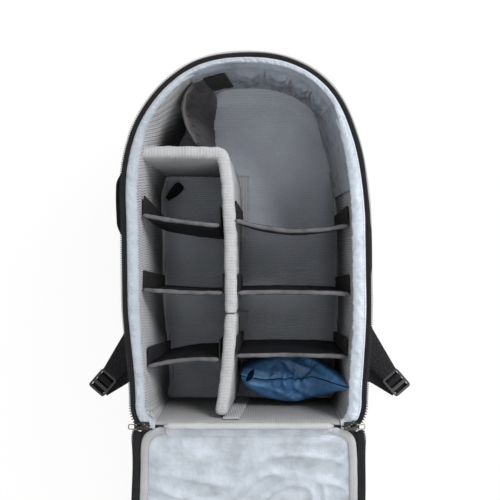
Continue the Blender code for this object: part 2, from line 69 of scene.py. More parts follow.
TAPER = 0.0080
TAPER_HIGH = -0.070
TAPER_LOW = -0.205
CORNER_WIDTH = 0.0225
CORNER_HEIGHT = 0.030
LOW_HALF = HALF_WIDTH - TAPER - CORNER_WIDTH
HINGE = next(joint for joint in frame["joints"] if joint["name"] == "flap_hinge")
HINGE_Y, HINGE_Z = HINGE["pos_m"][1:]
FLAP_OPEN = math.radians(-HINGE["range_deg"][0])
HINGE_SPAN = (-0.1035, 0.1085)

# Dividers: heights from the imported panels, and lines along tops and feet. Each small divider has its
# side, its places along Y at the wall and at the centre divider, its bow, and how far its foot leans
DIVIDER_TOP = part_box("centre_divider_upper")[1].z
CENTRE_HEAD = (-0.0300, 0.1220)
CENTRE_SEAM = (-0.0206, -0.0910)
CENTRE_FOOT = (-0.0340, -0.2205)
CENTRE_CORNER = (-0.0330, 0.1145)
# Lines along X beside which the floor's colour gets painted shade: the side walls and the centre divider
FLOOR_SHADE_LINES = (-0.1240, -0.0205, 0.1290)
SMALL_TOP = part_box("left_divider_upper")[1].z
WALL_FOOT = {-1: -0.1268, 1: 0.1305}
SMALL_DIVIDERS = {
    "left_divider_upper": (-1, 0.0347, 0.0215, 0.0015, 0.0140),
    "left_divider_middle": (-1, -0.0612, -0.0650, 0.0010, 0.0035),
    "left_divider_lower": (-1, -0.1597, -0.1507, -0.0040, 0.0),
    "right_divider_upper": (1, 0.0219, 0.0283, 0.0105, 0.0),
    "right_divider_middle": (1, -0.0663, -0.0650, -0.0015, 0.0010),
    "right_divider_lower": (1, -0.1469, -0.1456, -0.0015, 0.0),
}
DIVIDER_GAP = 0.0022
CURVED_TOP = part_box("curved_divider")[1].z
CURVED_HEAD = (
    (-0.0560, 0.2120), (-0.0690, 0.2065), (-0.0800, 0.1900),
    (-0.0825, 0.1680), (-0.0775, 0.1480), (-0.0655, 0.1275),
)
CURVED_FOOT = (
    (-0.0470, 0.2130), (-0.0500, 0.1950), (-0.0545, 0.1740),
    (-0.0520, 0.1510), (-0.0500, 0.1275),
)

# Flap while shut, above its hinge line, and the angle round the lower corners where its zipper ends
FLAP_START = 0.010
FLAP_GAP = 0.0046
FLAP_THICK = 0.010
ZIP_END = 28

# Zipper teeth: how far outside the cloth, their size and pitch, and the corners and faces of a tooth
TEETH_OUT = 0.0080
TEETH_LONG = 0.0050
TEETH_WIDE = 0.00156
TEETH_TALL = 0.0024
TEETH_PITCH = 0.00275
TOOTH_CORNERS = [(a, b, c) for c in (-1, 1) for a, b in ((-1, -1), (1, -1), (1, 1), (-1, 1))]
TOOTH_FACES = ((0, 3, 2, 1), (4, 5, 6, 7), (0, 1, 5, 4), (1, 2, 6, 5), (2, 3, 7, 6), (3, 0, 4, 7))

# Left shoulder strap from the yoke to its buckle, its widths, and its webbing; the right mirrors it
STRAP_ROUTE = (
    (-0.0660, 0.1540), (-0.0920, 0.0850), (-0.1030, -0.0100),
    (-0.1230, -0.0850), (-0.1640, -0.1400), (-0.2135, -0.2007),
)
STRAP_WIDTHS = (0.052, 0.060, 0.062, 0.060, 0.050, 0.025)
WEBBING_ROUTE = ((-0.2270, -0.2255), (-0.1923, -0.2045), (-0.1650, -0.1925), (-0.1124, -0.1925))

# Direction of the left buckle, from the strap to the webbing
BUCKLE_HEADING = math.radians(229)

# Swags of the satin inside the arch: middle along the rim and half width
ARCH_SWAGS = ((0.078, 0.024), (0.120, 0.020), (0.156, 0.018), (0.190, 0.018))

# Picture taken from straight above: focal length and the point under the lens, in picture pixels
PICTURE = 500
FOCAL_PIXELS = 611
UNDER_LENS = (262, 247)
LENS_PLACE = (0.019, -0.0062, 0.946)

# Strength of the white studio round the bag
SKY_LIGHT = 0.66


class Field:
    """A shader value that Python arithmetic turns into Math nodes."""

    def __init__(self, finish, socket):
        self.finish = finish
        self.socket = socket

    def math(self, operation, first, second=None):
        sockets = {0: first} if second is None else {0: first, 1: second}
        return self.finish.node("ShaderNodeMath", {"operation": operation}, sockets)

    def __add__(self, other):
        return self.math("ADD", self, other)

    def __sub__(self, other):
        return self.math("SUBTRACT", self, other)

    def __rsub__(self, other):
        return self.math("SUBTRACT", other, self)

    def __mul__(self, other):
        return self.math("MULTIPLY", self, other)

    def __gt__(self, other):
        return self.math("GREATER_THAN", self, other)

    def wave(self):
        return self.math("SINE", self)

    def size(self):
        return self.math("ABSOLUTE", self)

    __radd__ = __add__
    __rmul__ = __mul__


class Nodes:
    """A node tree whose nodes are all made in one way."""

    def __init__(self, tree):
        self.tree = tree

    def node(self, kind, settings=None, sockets=None, out=0):
        made = self.tree.nodes.new(kind)
        for label, value in (settings or {}).items():
            if label == "stops":
                self.stops(made.color_ramp, value)
            else:
                setattr(made, label, value)
        for label, value in (sockets or {}).items():
            if isinstance(value, Field):
                self.tree.links.new(value.socket, made.inputs[label])
            else:
                made.inputs[label].default_value = value
        return Field(self, made.outputs[out])

    def stops(self, ramp, stops):
        while len(ramp.elements) < len(stops):
            ramp.elements.new(0.5)
        for element, (place, shade) in zip(ramp.elements, stops):
            element.position = place
            element.color = (*shade, 1)

    def seen(self):
        """1 for rays that show a thing straight, mirrored or through glass, 0 for those that light it."""
        kinds = ("Is Camera Ray", "Is Glossy Ray", "Is Transmission Ray")
        straight, mirrored, through = (self.node("ShaderNodeLightPath", out=kind) for kind in kinds)
        shown = straight + mirrored + through
        return shown.math("MINIMUM", shown, 1.0)

    def surface(self, shader):
        output = next(node for node in self.tree.nodes if node.bl_idname.startswith("ShaderNodeOutput"))
        self.tree.links.new(shader.socket, output.inputs["Surface"])


class Finish(Nodes):
    """One procedural material: a Principled shader and the nodes that feed it."""

    def __init__(self, name, **constants):
        self.material = bpy.data.materials.new(name)
        self.material.use_nodes = True
        super().__init__(self.material.node_tree)
        self.shader = self.tree.nodes["Principled BSDF"]
        for label, value in constants.items():
            self.shader.inputs[label.replace("_", " ")].default_value = value
        self.place = self.node("ShaderNodeTexCoord", out="Object")
        self.x, self.y, self.z = (
            self.node("ShaderNodeSeparateXYZ", {}, {0: self.place}, axis) for axis in "XYZ"
        )

    def noise(self, scale, detail=3.0, rough=0.55, stretch=(1, 1, 1)):
        place = self.place
        if stretch != (1, 1, 1):
            place = self.node("ShaderNodeVectorMath", {"operation": "MULTIPLY"}, {0: place, 1: stretch})
        sockets = {"Vector": place, "Scale": scale, "Detail": detail, "Roughness": rough}
        return self.node("ShaderNodeTexNoise", {}, sockets)

    def cells(self, scale, out="Distance"):
        return self.node("ShaderNodeTexVoronoi", {}, {"Vector": self.place, "Scale": scale}, out)

    def tint(self, amount, stops):
        return self.node("ShaderNodeValToRGB", {"stops": stops}, {"Fac": amount})

    def feed(self, label, field):
        self.tree.links.new(field.socket, self.shader.inputs[label])
        return self

    def scale(self, colour, share):
        return self.node("ShaderNodeVectorMath", {"operation": "SCALE"}, {0: colour, "Scale": share})

    def paint_depth_shade(self, colour, left, low=0.0):
        """A colour with painted shade: it sinks to a share of itself from the rim down to the floor, from
        low above it.
        """
        if left == 1:
            return colour
        fall = self.node("ShaderNodeMapRange", {"interpolation_type": "SMOOTHSTEP" if low else "LINEAR"}, {
            0: self.z, 1: FLOOR_TOP + low, 2: DIVIDER_TOP - low / 2, 3: left, 4: 1.0})
        return self.scale(colour, fall)

    def paint_edge_shade(self, colour, away, left, reach):
        """A colour with painted shade: it sinks to a share of itself where a distance is small."""
        fall = self.node("ShaderNodeMapRange", {"interpolation_type": "SMOOTHSTEP"}, {
            0: away, 1: 0.0, 2: reach, 3: left, 4: 1.0})
        return self.scale(colour, fall)

    def bump(self, height, distance, strength=1.0):
        sockets = {"Height": height, "Distance": distance, "Strength": strength}
        made = self.node("ShaderNodeBump", {}, sockets)
        return self.feed("Normal", made)


def shades(colour, low, high):
    """Three ramp stops round a colour."""
    return [
        (0.25, tuple(c * low for c in colour)),
        (0.5, colour),
        (0.75, tuple(min(c * high, 1) for c in colour)),
    ]


def weave(finish, pitch, tall=1):
    """Over-and-under threads that show on any face, longer by tall along the height."""
    step = 2 * math.pi / pitch
    threads = (finish.x * step).wave() * (finish.y * step).wave()
    return threads + (finish.z * (step / tall)).wave() * ((finish.x + finish.y) * step).wave()


def nylon_finish(name, colour, pitch=0.0011, rough=0.62, crease=0.0008, gloss=0.25):
    """Woven nylon with soft creases."""
    finish = Finish(name, Roughness=rough, Specular_IOR_Level=gloss)
    cloud = finish.noise(26, 4)
    finish.feed("Base Color", finish.tint(cloud, shades(colour, 0.72, 1.35)))
    finish.feed("Roughness", cloud * 0.25 + (rough - 0.12))
    return finish.bump(weave(finish, pitch) * 0.16 + finish.noise(55, 3) * (crease * 1000), 0.0006).material


def divider_finish(name, colour, edge):
    """Black nylon panel with a grey band along its free edge: binding colour that also carries the painted
    highlight of the rolled top.
    """
    finish = Finish(name, Roughness=0.55, Specular_IOR_Level=0.2)
    cloud = finish.noise(26, 4)
    body = finish.tint(cloud, shades(colour, 0.7, 1.4))
    # Grey binding along the top edge, partly a painted highlight of the rolled top.
    binding_and_highlight = finish.tint(finish.noise(70, 4), shades(edge, 0.55, 1.3))
    share = finish.node("ShaderNodeMapRange", {"interpolation_type": "SMOOTHSTEP"}, {
        0: finish.z + cloud * 0.0012, 1: SMALL_TOP - 0.0020, 2: SMALL_TOP - 0.0002})
    cloth = finish.node("ShaderNodeMix", {"data_type": "RGBA"}, {0: share, 6: body, 7: binding_and_highlight}, 2)
    finish.feed("Base Color", cloth)
    return finish.bump(weave(finish, 0.0012) * 0.16 + finish.noise(60, 3), 0.0007).material


def loop_finish(name, colour, pitch=0.0024, strong=0.2, along=None, corner=None, shade_floor_share=1, low=0.0, shade_lines=()):
    """Brushed loop cloth with a fuzzy pile, ribbed across an edge or dotted, with painted shade towards the
    floor and painted shade beside some lines.
    """
    finish = Finish(name, Roughness=0.95, Specular_IOR_Level=0.1)
    step = 2 * math.pi / pitch
    jitter = finish.noise(160, 2) * 1.2
    ribs = {"x": (finish.x * step + jitter).wave(), "y": (finish.y * step + jitter).wave()}
    if along:
        ribs = ribs[along]
    elif corner:
        arm = (finish.y - finish.x) > (corner[1] - corner[0])
        ribs = ribs["x"] * arm + ribs["y"] * (1 - arm)
    else:
        ribs = weave(finish, pitch, 3)
    pile = finish.noise(900, 2, 0.7)
    cloud = finish.noise(18, 4)
    shade = ribs * strong + pile * 0.55 + cloud * 0.30 + 0.07
    # Painted shade: the cloth darkens from the rim down to the floor, to a given share of its colour.
    cloth = finish.paint_depth_shade(finish.tint(shade, shades(colour, 0.62, 1.32)), shade_floor_share, low)
    # Painted shade on the floor beside the walls and the centre divider, fading out above y 0.08.
    beyond = (finish.y - 0.080).size() + finish.y - 0.080
    for line in shade_lines:
        cloth = finish.paint_edge_shade(cloth, (finish.x - line).size() + beyond * 0.4, 0.62, 0.030)
    finish.feed("Base Color", cloth)
    return finish.bump(ribs * (strong * 3) + pile * 0.8, 0.0009, 0.8).material


def satin_finish(name, colour, rough=0.42, shade_floor_share=1, right_light=0.0, fold_shade=0.0):
    """Smooth lining satin with fine puckers; painted light makes it brighter towards the right, and painted
    shade darkens it in streaks for its folds and down towards the floor.
    """
    finish = Finish(name, Roughness=rough, Sheen_Weight=0.25, Sheen_Roughness=0.35)
    cloud = finish.noise(40, 4)
    # Painted shade: stretched noise darkens the satin in streaks that stand for the shadows in its folds.
    folds = cloud + (finish.noise(38, 2, 0.5, (1, 1, 0.4)) - 0.5) * (fold_shade * 2)
    # Painted shade: darker down towards the floor.
    cloth = finish.paint_depth_shade(finish.tint(folds, shades(colour, 0.86 - fold_shade / 2, 1.10 + fold_shade / 3)), shade_floor_share)
    # Painted light: brighter towards the right, darker towards the left.
    finish.feed("Base Color", finish.scale(cloth, finish.x * right_light + 1))
    finish.feed("Roughness", cloud * 0.22 + (rough - 0.10))
    fine = finish.noise(150, 4) + weave(finish, 0.0009) * 0.05
    return finish.bump(fine, 0.0020, 0.9).material


def webbing_finish(name, colour):
    """Narrow woven strap with a ladder of ribs."""
    finish = Finish(name, Roughness=0.7, Specular_IOR_Level=0.25)
    ribs = ((finish.x + finish.y) * (2 * math.pi / 0.0026)).wave()
    cross = ((finish.x - finish.y + finish.z) * (2 * math.pi / 0.0018)).wave()
    cloud = finish.noise(60, 3)
    finish.feed("Base Color", finish.tint(cloud + ribs * 0.08, shades(colour, 0.7, 1.5)))
    return finish.bump(ribs * 0.6 + cross * 0.4, 0.0005).material


def metal_finish(name, colour, rough=0.32):
    """Dark plated metal, worn brighter in patches."""
    finish = Finish(name, Metallic=1.0, Roughness=rough)
    worn = finish.noise(420, 5, 0.65)
    finish.feed("Base Color", finish.tint(worn, shades(colour, 0.7, 1.7)))
    finish.feed("Roughness", worn * 0.35 + (rough - 0.14))
    return finish.bump(finish.noise(1500, 2), 0.00008, 0.5).material


def plastic_finish(name, colour, rough=0.38, gloss=0.5):
    """Moulded plastic with a fine spark-eroded grain."""
    finish = Finish(name, Roughness=rough, Specular_IOR_Level=gloss)
    scuff = finish.noise(220, 5, 0.7)
    finish.feed("Base Color", finish.tint(scuff, shades(colour, 0.8, 1.6)))
    finish.feed("Roughness", scuff * 0.3 + (rough - 0.1))
    return finish.bump(finish.noise(2600, 2), 0.00006, 0.6).material


def coated_finish(name, colour):
    """Thin coated nylon with sharp crinkles and a low gloss."""
    finish = Finish(name, Roughness=0.38, Specular_IOR_Level=0.5)
    cloud = finish.noise(34, 5)
    finish.feed("Base Color", finish.tint(cloud, shades(colour, 0.6, 1.4)))
    finish.feed("Roughness", cloud * 0.3 + 0.22)
    crinkle = finish.cells(70) * 1.2 + finish.noise(90, 4) * 0.9 + weave(finish, 0.001) * 0.05
    return finish.bump(crinkle, 0.0016, 0.8).material


def hook_finish(name, colour):
    """Hook tape: a fine square field of hooks."""
    finish = Finish(name, Roughness=0.8)
    hooks = weave(finish, 0.0022)
    shade = hooks * 0.35 + finish.noise(300, 2) * 0.6
    finish.feed("Base Color", finish.tint(shade, shades(colour, 0.6, 1.5)))
    return finish.bump(hooks, 0.0007).material


def mesh_finish(name, colour):
    """Spacer mesh: a field of small open cells."""
    finish = Finish(name, Roughness=0.85, Specular_IOR_Level=0.2)
    holes = finish.cells(330)
    finish.feed("Base Color", finish.tint(holes * 1.5, shades(colour, 0.4, 1.7)))
    return finish.bump(holes, 0.0011).material


NYLON = nylon_finish("black_nylon", (0.010, 0.0105, 0.013))
DIVIDER_CLOTH = divider_finish("black_divider_cloth", (0.0065, 0.0065, 0.0078), (0.120, 0.119, 0.128))
BLACK_HOOK = hook_finish("black_hook_tape", (0.0045, 0.0045, 0.0052))
FLOOR_LOOP = loop_finish("floor_loop_cloth", (0.450, 0.478, 0.530), 0.0030, 0.05, "y", shade_lines=FLOOR_SHADE_LINES)
# Painted shade towards the floor on the walls, the bottom wall and the centre divider's sides.
WALL_LOOP = loop_finish("wall_loop_cloth", (0.385, 0.390, 0.400), 0.0034, 0.18, shade_floor_share=0.36, low=0.035)
LOW_LOOP = loop_finish("bottom_loop_cloth", (0.340, 0.344, 0.350), 0.0030, 0.07, shade_floor_share=0.28)
PALE_LOOP = loop_finish(
    "pale_loop_cloth", (0.455, 0.460, 0.472), 0.0019, 0.10, corner=CENTRE_CORNER, shade_floor_share=0.5)
TAB_LOOP = loop_finish("tab_loop_cloth", (0.42, 0.43, 0.445), 0.0022, 0.16, "x")
BORDER_LOOP = loop_finish("border_loop_cloth", (0.45, 0.455, 0.465), 0.0022, 0.03, "x")
# Rim satin with painted light, brighter towards the right.
SATIN = satin_finish("pale_satin", (0.500, 0.546, 0.612), right_light=1.4)
# Painted shade on the arch satin: darker down towards the floor, and in streaks for its folds.
ARCH_SATIN = satin_finish("arch_satin", (0.262, 0.296, 0.352), 0.28, 0.40, fold_shade=0.25)
SATIN_THREAD = plastic_finish("satin_thread", (0.34, 0.36, 0.40), 0.7)
# Flap lining satin with painted shade in streaks for its folds.
LINING = satin_finish("flap_satin", (0.53, 0.585, 0.65), 0.38, fold_shade=0.25)
TAUPE = nylon_finish("taupe_nylon", (0.052, 0.047, 0.049), 0.0010, 0.40, 0.0016, 0.6)
COVER = coated_finish("blue_cover_nylon", (0.040, 0.124, 0.270))
# Near-black blue: painted shade inside the sack's mouth, and the colour of its dark seam.
COVER_DARK = nylon_finish("blue_cover_inside", (0.003, 0.007, 0.020), rough=0.9, gloss=0.05)
WEBBING = webbing_finish("black_webbing", (0.010, 0.0105, 0.012))
TAPE = webbing_finish("zipper_tape_weave", (0.009, 0.0095, 0.012))
TEETH = plastic_finish("zipper_teeth_plastic", (0.009, 0.009, 0.010), 0.5, 0.2)
GUN_METAL = metal_finish("dark_plated_metal", (0.040, 0.038, 0.037))
PULL_METAL = metal_finish("bright_pull_metal", (0.30, 0.285, 0.265), 0.26)
ACETAL = plastic_finish("black_acetal", (0.020, 0.020, 0.022))
PADDING = mesh_finish("black_spacer_mesh", (0.010, 0.010, 0.0115))
THREAD = plastic_finish("grey_thread", (0.30, 0.30, 0.31), 0.7)


def piece(name, mesh, material, body):
    """Links a mesh as a piece of the bag that rides on a body."""
    obj = bpy.data.objects.new(name, mesh)
    bpy.context.scene.collection.objects.link(obj)
    mesh.materials.append(material)
    mesh.shade_smooth()
    if body:
        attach(obj, body)
    return obj


def finished(bm, name):
    """The mesh that was put together in a bmesh, its faces turned outwards."""
    bmesh.ops.recalc_face_normals(bm, faces=bm.faces)
    mesh = bpy.data.meshes.new(name)
    bm.to_mesh(mesh)
    bm.free()
    return mesh


def grid_mesh(name, points, wrap_rows=False, wrap_cols=True):
    """A mesh through rows of points; open tubes get flat ends."""
    points = np.asarray(points, float)
    rows, cols = points.shape[:2]
    bm = bmesh.new()
    verts = [bm.verts.new(point) for point in points.reshape(-1, 3)]
    for i in range(rows if wrap_rows else rows - 1):
        for j in range(cols if wrap_cols else cols - 1):
            k, m = (i + 1) % rows, (j + 1) % cols
            bm.faces.new([verts[a * cols + b] for a, b in ((i, j), (i, m), (k, m), (k, j))])
    if wrap_cols and not wrap_rows:
        bm.faces.new(verts[:cols])
        bm.faces.new(verts[-cols:])
    return finished(bm, name)


def shaped(name, rows, material, body, slot=None, **seams):
    """A piece whose mesh runs through rows of points."""
    return piece(name, grid_mesh(name, rows, **seams), material, body)


def thicken(obj, depth):
    """Gives an open sheet its thickness, away from the side that shows."""
    modifier = obj.modifiers.new("thickness", "SOLIDIFY")
    modifier.thickness = depth
    modifier.offset = -1
    return obj


def turns(count):
    """Evenly spaced angles round a circle."""
    return np.linspace(0, 2 * math.pi, count, endpoint=False)


def ease(value, start, end):
    """Smooth step from 0 at start to 1 at end."""
    share = min(max((value - start) / (end - start), 0), 1)
    return share * share * (3 - 2 * share)


def unit(vectors):
    """Directions of length 1."""
    return vectors / np.linalg.norm(vectors, axis=1)[:, None]


def length_run(points):
    """Length along a line at each of its points."""
    return np.concatenate([[0], np.cumsum(np.linalg.norm(np.diff(points, axis=0), axis=1))])


def spots_at(lengths, run, points):
    """Points of a line at given lengths along it."""
    return np.stack([np.interp(lengths, run, points[:, k]) for k in (0, 1)], axis=1)


def sway(y):
    """Sideways lean of the soft bag at a place along Y."""
    lower = 0.0022 * ease(-y, 0.050, 0.170) * (1 - 0.3 * ease(-y, 0.195, 0.232))
    return lower - 0.0042 * ease(y, -0.010, 0.100) * (1 - ease(y, 0.130, 0.205))


def taper(y):
    """How far each side draws in at a place along Y, towards the bottom of the bag."""
    return TAPER * ease(-y, -TAPER_HIGH, -TAPER_LOW)


def outline(start=90.0, closed=False, spacing=0.005):
    """Evenly spaced points and outward directions round the bag, from lower left to lower right."""
    points = []
    low = CORNER_HEIGHT - HALF_LENGTH
    for i in range(60):
        angle = math.radians(start) * (1 - i / 60)
        y = low - CORNER_HEIGHT * math.sin(angle)
        points.append((CORNER_WIDTH * (1 - math.cos(angle)) + taper(y) - HALF_WIDTH, y))
    for y in np.linspace(low, TAPER_HIGH, 61):
        points.append((taper(y) - HALF_WIDTH, y))
    for i in range(361):
        angle = math.pi * (1 - i / 360)
        across = math.copysign(abs(math.cos(angle)) ** (2 / ARCH_POWER), math.cos(angle))
        points.append((HALF_WIDTH * across, ARCH_Y + ARCH_RISE * abs(math.sin(angle)) ** (2 / ARCH_POWER)))
    points += [(-x, y) for x, y in points[120::-1]]
    points = [(x + sway(y), y) for x, y in points]
    if closed:
        points.append(points[0])
    points = np.array(points)
    run = length_run(points)
    count = int(run[-1] / spacing) + 1
    even = np.linspace(0, run[-1], count + 1)
    even = even[:-1] if closed else even
    place = spots_at(even, run, points)
    near = [even + 1e-4, even - 1e-4]
    near = [spots % run[-1] if closed else np.clip(spots, 0, run[-1]) for spots in near]
    ahead, behind = (spots_at(spots, run, points) for spots in near)
    along = unit(ahead - behind)
    return place, np.stack([-along[:, 1], along[:, 0]], axis=1), even


def swept(name, track, section, closed=False, ripple=None, taper=0.0):
    """A closed cross section (outset, height), fixed or changing with direction, carried along a track."""
    place, out, run = track
    rows = []
    for spot, away, length in zip(place, out, run):
        loop = section(away, spot[1]) if callable(section) else section
        row = []
        for j, (offset, height) in enumerate(loop):
            shift = ripple(length, j / len(loop)) if ripple else (0, 0)
            row.append((*(spot + away * (offset + shift[0])), height + shift[1]))
        if taper:
            share = min(length - run[0], run[-1] - length) / taper
            middle = np.mean(row, axis=0)
            row = middle + (row - middle) * (0.12 + 0.88 * math.sin(math.pi / 2 * min(share, 1)))
        rows.append(row)
    return grid_mesh(name, rows, wrap_rows=closed)


def wobble(*place, seed=0.0):
    """Smooth unevenness of cloth at a place, from about -1 to 1."""
    return noise.noise(Vector((*place, 0, 0)[:3]) + Vector((seed, seed * 1.7, -seed)))


def arc(first, last, bulge, steps=6):
    """Points from first to last, bowed sideways by bulge."""
    first, last = np.array(first, float), np.array(last, float)
    across = np.array([-(last - first)[1], (last - first)[0]])
    across /= np.linalg.norm(across)
    return [
        first + (last - first) * t + across * bulge * math.sin(math.pi * t) for t in np.linspace(0, 1, steps)
    ]


def flap_place(points):
    """Points given with the flap shut, swung to where the flap lies open."""
    points = np.asarray(points, float)
    y, z = points[..., 1] - HINGE_Y, points[..., 2] - HINGE_Z
    c, s = math.cos(FLAP_OPEN), math.sin(FLAP_OPEN)
    return np.stack([points[..., 0], HINGE_Y + c * y - s * z, HINGE_Z + s * y + c * z], axis=-1)


def make_camera():
    data = bpy.data.cameras.new("camera")
    data.lens = FOCAL_PIXELS / PICTURE * data.sensor_width
    data.shift_x = (PICTURE / 2 - UNDER_LENS[0]) / PICTURE
    data.shift_y = (UNDER_LENS[1] - PICTURE / 2) / PICTURE
    camera = bpy.data.objects.new("camera", data)
    camera.location = LENS_PLACE
    bpy.context.scene.collection.objects.link(camera)
    bpy.context.scene.camera = camera


def make_stage():
    """White floor that keeps the shadow, a white world and soft lamps."""
    bpy.context.scene.view_settings.view_transform = "Standard"
    mesh = bpy.data.meshes.new("floor")
    reach = 6.0
    corners = [(-reach, -reach, 0), (reach, -reach, 0), (reach, reach, 0), (-reach, reach, 0)]
    mesh.from_pydata(corners, [], [(0, 1, 2, 3)])
    floor = bpy.data.objects.new("floor", mesh)
    floor.location.z = -0.0005
    bpy.context.scene.collection.objects.link(floor)
    white = Finish("white_floor", Base_Color=(0.9, 0.9, 0.9, 1), Roughness=0.9)
    glow = white.node("ShaderNodeEmission", {}, {"Color": (1, 1, 1, 1), "Strength": 1.0})
    matte = Field(white, white.shader.outputs[0])
    white.surface(white.node("ShaderNodeMixShader", {}, {0: white.seen() * 0.93, 1: matte, 2: glow}))
    mesh.materials.append(white.material)
    world = bpy.data.worlds.new("studio")
    bpy.context.scene.world = world
    world.use_nodes = True
    sky = Nodes(world.node_tree)
    light = sky.node("ShaderNodeBackground", {}, {"Color": (1, 1, 1, 1), "Strength": SKY_LIGHT})
    plain = sky.node("ShaderNodeBackground", {}, {"Color": (1, 1, 1, 1), "Strength": 1.0})
    sky.surface(sky.node("ShaderNodeMixShader", {}, {0: sky.seen(), 1: light, 2: plain}))
    for name, place, size, power in (
        ("key_lamp", (1.05, 1.05, 1.3), 0.8, 34),
        ("fill_lamp", (0.6, -1.0, 1.5), 1.0, 8),
    ):
        data = bpy.data.lights.new(name, "AREA")
        data.shape = "DISK"
        data.size = size
        data.energy = power
        lamp = bpy.data.objects.new(name, data)
        lamp.location = place
        lamp.rotation_euler = (Vector((0, 0, 0.1)) - Vector(place)).to_track_quat("-Z", "Y").to_euler()
        bpy.context.scene.collection.objects.link(lamp)


def wall_depth(away, y):
    """How far the padding reaches in at the rim: thick along the sides, thin at the top and the bottom."""
    side = 0.0105 - 0.0025 * ease(-y, 0.080, 0.160) if away[0] < 0 else 0.0130
    thin = 0.0055 if away[1] > 0 else 0.0074
    return side - (side - thin) * min((4 if away[1] > 0 else 1) * away[1] ** 2, 1)


def foot_depth(away):
    """How far the padding reaches in at the floor, most on the left of the arch."""
    if away[0] > 0 or away[1] < 0:
        side = 0.0158 if away[0] > 0 else 0.0192
        return side - (side - 0.0030) * min((2.2 if away[1] > 0 else 1) * away[1] ** 2, 1)
    swell = 0.0192 + 0.0080 * math.sin(math.pi * min(away[1] / 0.8, 1))
    return swell - (swell - 0.0030) * ease(away[1], 0.60, 0.92)


def make_rim():
    """Padded satin rim with gathered puckers, on top of the walls."""

    def section(away, y):
        inner = -wall_depth(away, y) - 0.0006
        loop = arc((-0.0006, 0.1800), (0.0020, 0.1857), -0.0006, 4)
        loop += arc((0.0020, 0.1857), (inner, 0.1805), -0.0022, 12)[1:]
        loop += arc((inner, 0.1805), (inner + 0.0006, 0.1690), 0.0010, 5)[1:]
        return loop + [np.array((inner / 2, 0.1690))]

    def pucker(run, share):
        top = math.sin(math.pi * min(share / 0.9, 1.0))
        gather = wobble(run * 110 + 2.5 * share, share * 2.0, seed=3.1) * 0.6
        gather += 0.4 - 1.5 * abs(wobble(run * 210 - 4 * share, share * 2.5, seed=7.7))
        gather = max(gather, -0.3) if share < 0.5 else gather
        sunk = 0.0050 * (1 - ease(min(run, track[2][-1] - run), 0.004, 0.026))
        return gather * 0.0018 * top * (share > 0.4), gather * 0.0019 * top - sunk

    track = outline(88, spacing=0.0012)
    mesh = swept("satin_rim", track, section, ripple=pucker)
    rim = piece("satin_rim", mesh, SATIN, "body")
    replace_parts(rim, "rim_lining")
    track = outline(86, spacing=0.0042)
    make_coil_stitch("rim_stitch", track, 0, 0.1868, "body", False, SATIN_THREAD, 0.0024, "satin")


def make_walls():
    """Loop-cloth walls with soft foam behind them, and the satin panel inside the arch."""
    low = BACK_TOP + 0.0004

    def section(away, y, top=None, foot=None):
        top = top or wall_depth(away, y)
        foot = foot or foot_depth(away)
        loop = [(-0.0016, low), (-0.0016, 0.1770), (-0.5 * top, 0.1785), (0.0010 - top, 0.1755)]
        for t in np.linspace(0, 1, 16):
            bulge = 0.0012 * math.sin(math.pi * t)
            loop.append((-top + (top - foot) * t - bulge, 0.1725 + (FLOOR_TOP - 0.0020 - 0.1725) * t))
        return loop + [(-foot, low)]

    def dent(run, share):
        return wobble(run * 22, share * 6, seed=1.3) * (0.0009 if share > 0.2 else 0.0), 0.0

    mesh = swept("wall_padding", outline(90, spacing=0.004), section, ripple=dent)
    wall = piece("wall_padding", mesh, WALL_LOOP, "body")
    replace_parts(wall, "wall_pad_left", "wall_pad_right", "wall_pad_top")
    place, out, run = outline(90, spacing=0.0014)
    keep = (place[:, 1] > np.where(place[:, 0] > 0, 0.066, 0.170)) & (place[:, 0] > -0.075)
    span = run[keep]
    rows = []
    for spot, away, length in zip(place[keep], out[keep], span):
        row = []
        ends = ease(min(length - span[0], span[-1] - length), 0, 0.014)
        side = ease(spot[1], 0.110, 0.185) if spot[0] > 0 else 1
        quiet = ends * side * (1 - 0.9 * ease(spot[0], -0.010, -0.022))
        foot = FLOOR_TOP + 0.9 * floor_rise(*(spot - away * 0.004))
        head = 0.1800 + 0.0060 * side
        for t in np.linspace(0, 1, 60):
            swirl = 0.05 * wobble(length * 40, t * 3, seed=4.0)
            fold = 0.3 - abs(wobble(length * 60 - 3 * t, t * 2, seed=9.0))
            for centre, wide in ARCH_SWAGS:
                across = min(abs(length - span[0] - centre) / wide, 1)
                for sag in (0.26, 0.52, 0.82):
                    fold += math.exp(-(((t + swirl - sag * (1 - across**2)) / 0.07) ** 2)) * (1 - across**6)
            fade = ease(t, 0.02, 0.25) * (1 - ease(t, 0.70, 0.97))
            lift = 0.0017 + 0.0012 * math.sin(math.pi * t) + 0.0010 * ends * side
            lift += 0.0060 * fold * fade * quiet
            depth = wall_depth(away, spot[1]) * (1 - t) + foot_depth(away) * t
            depth += lift - 0.0042 * (1 - ease(t, 0, 0.07))
            row.append((*(spot - away * depth), head + (foot - head) * t))
        rows.append(row)
    drape = shaped("arch_satin", rows, ARCH_SATIN, "body", "satin", wrap_cols=False)
    thicken(drape, 0.0006)
    rows = []
    for x in np.linspace(-LOW_HALF - 0.002, LOW_HALF + 0.002, 70):
        loop = section(None, None, 0.0062, 0.0042)
        row = []
        for depth, z in loop:
            soft = wobble(x * 22, z * 30, seed=2.0) * 0.0006
            row.append((x + sway(-HALF_LENGTH), -HALF_LENGTH - depth + soft, z))
        rows.append(row)
    low_wall = shaped("bottom_wall_padding", rows, LOW_LOOP, "body", "grey_loop")
    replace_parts(low_wall, "wall_pad_bottom")


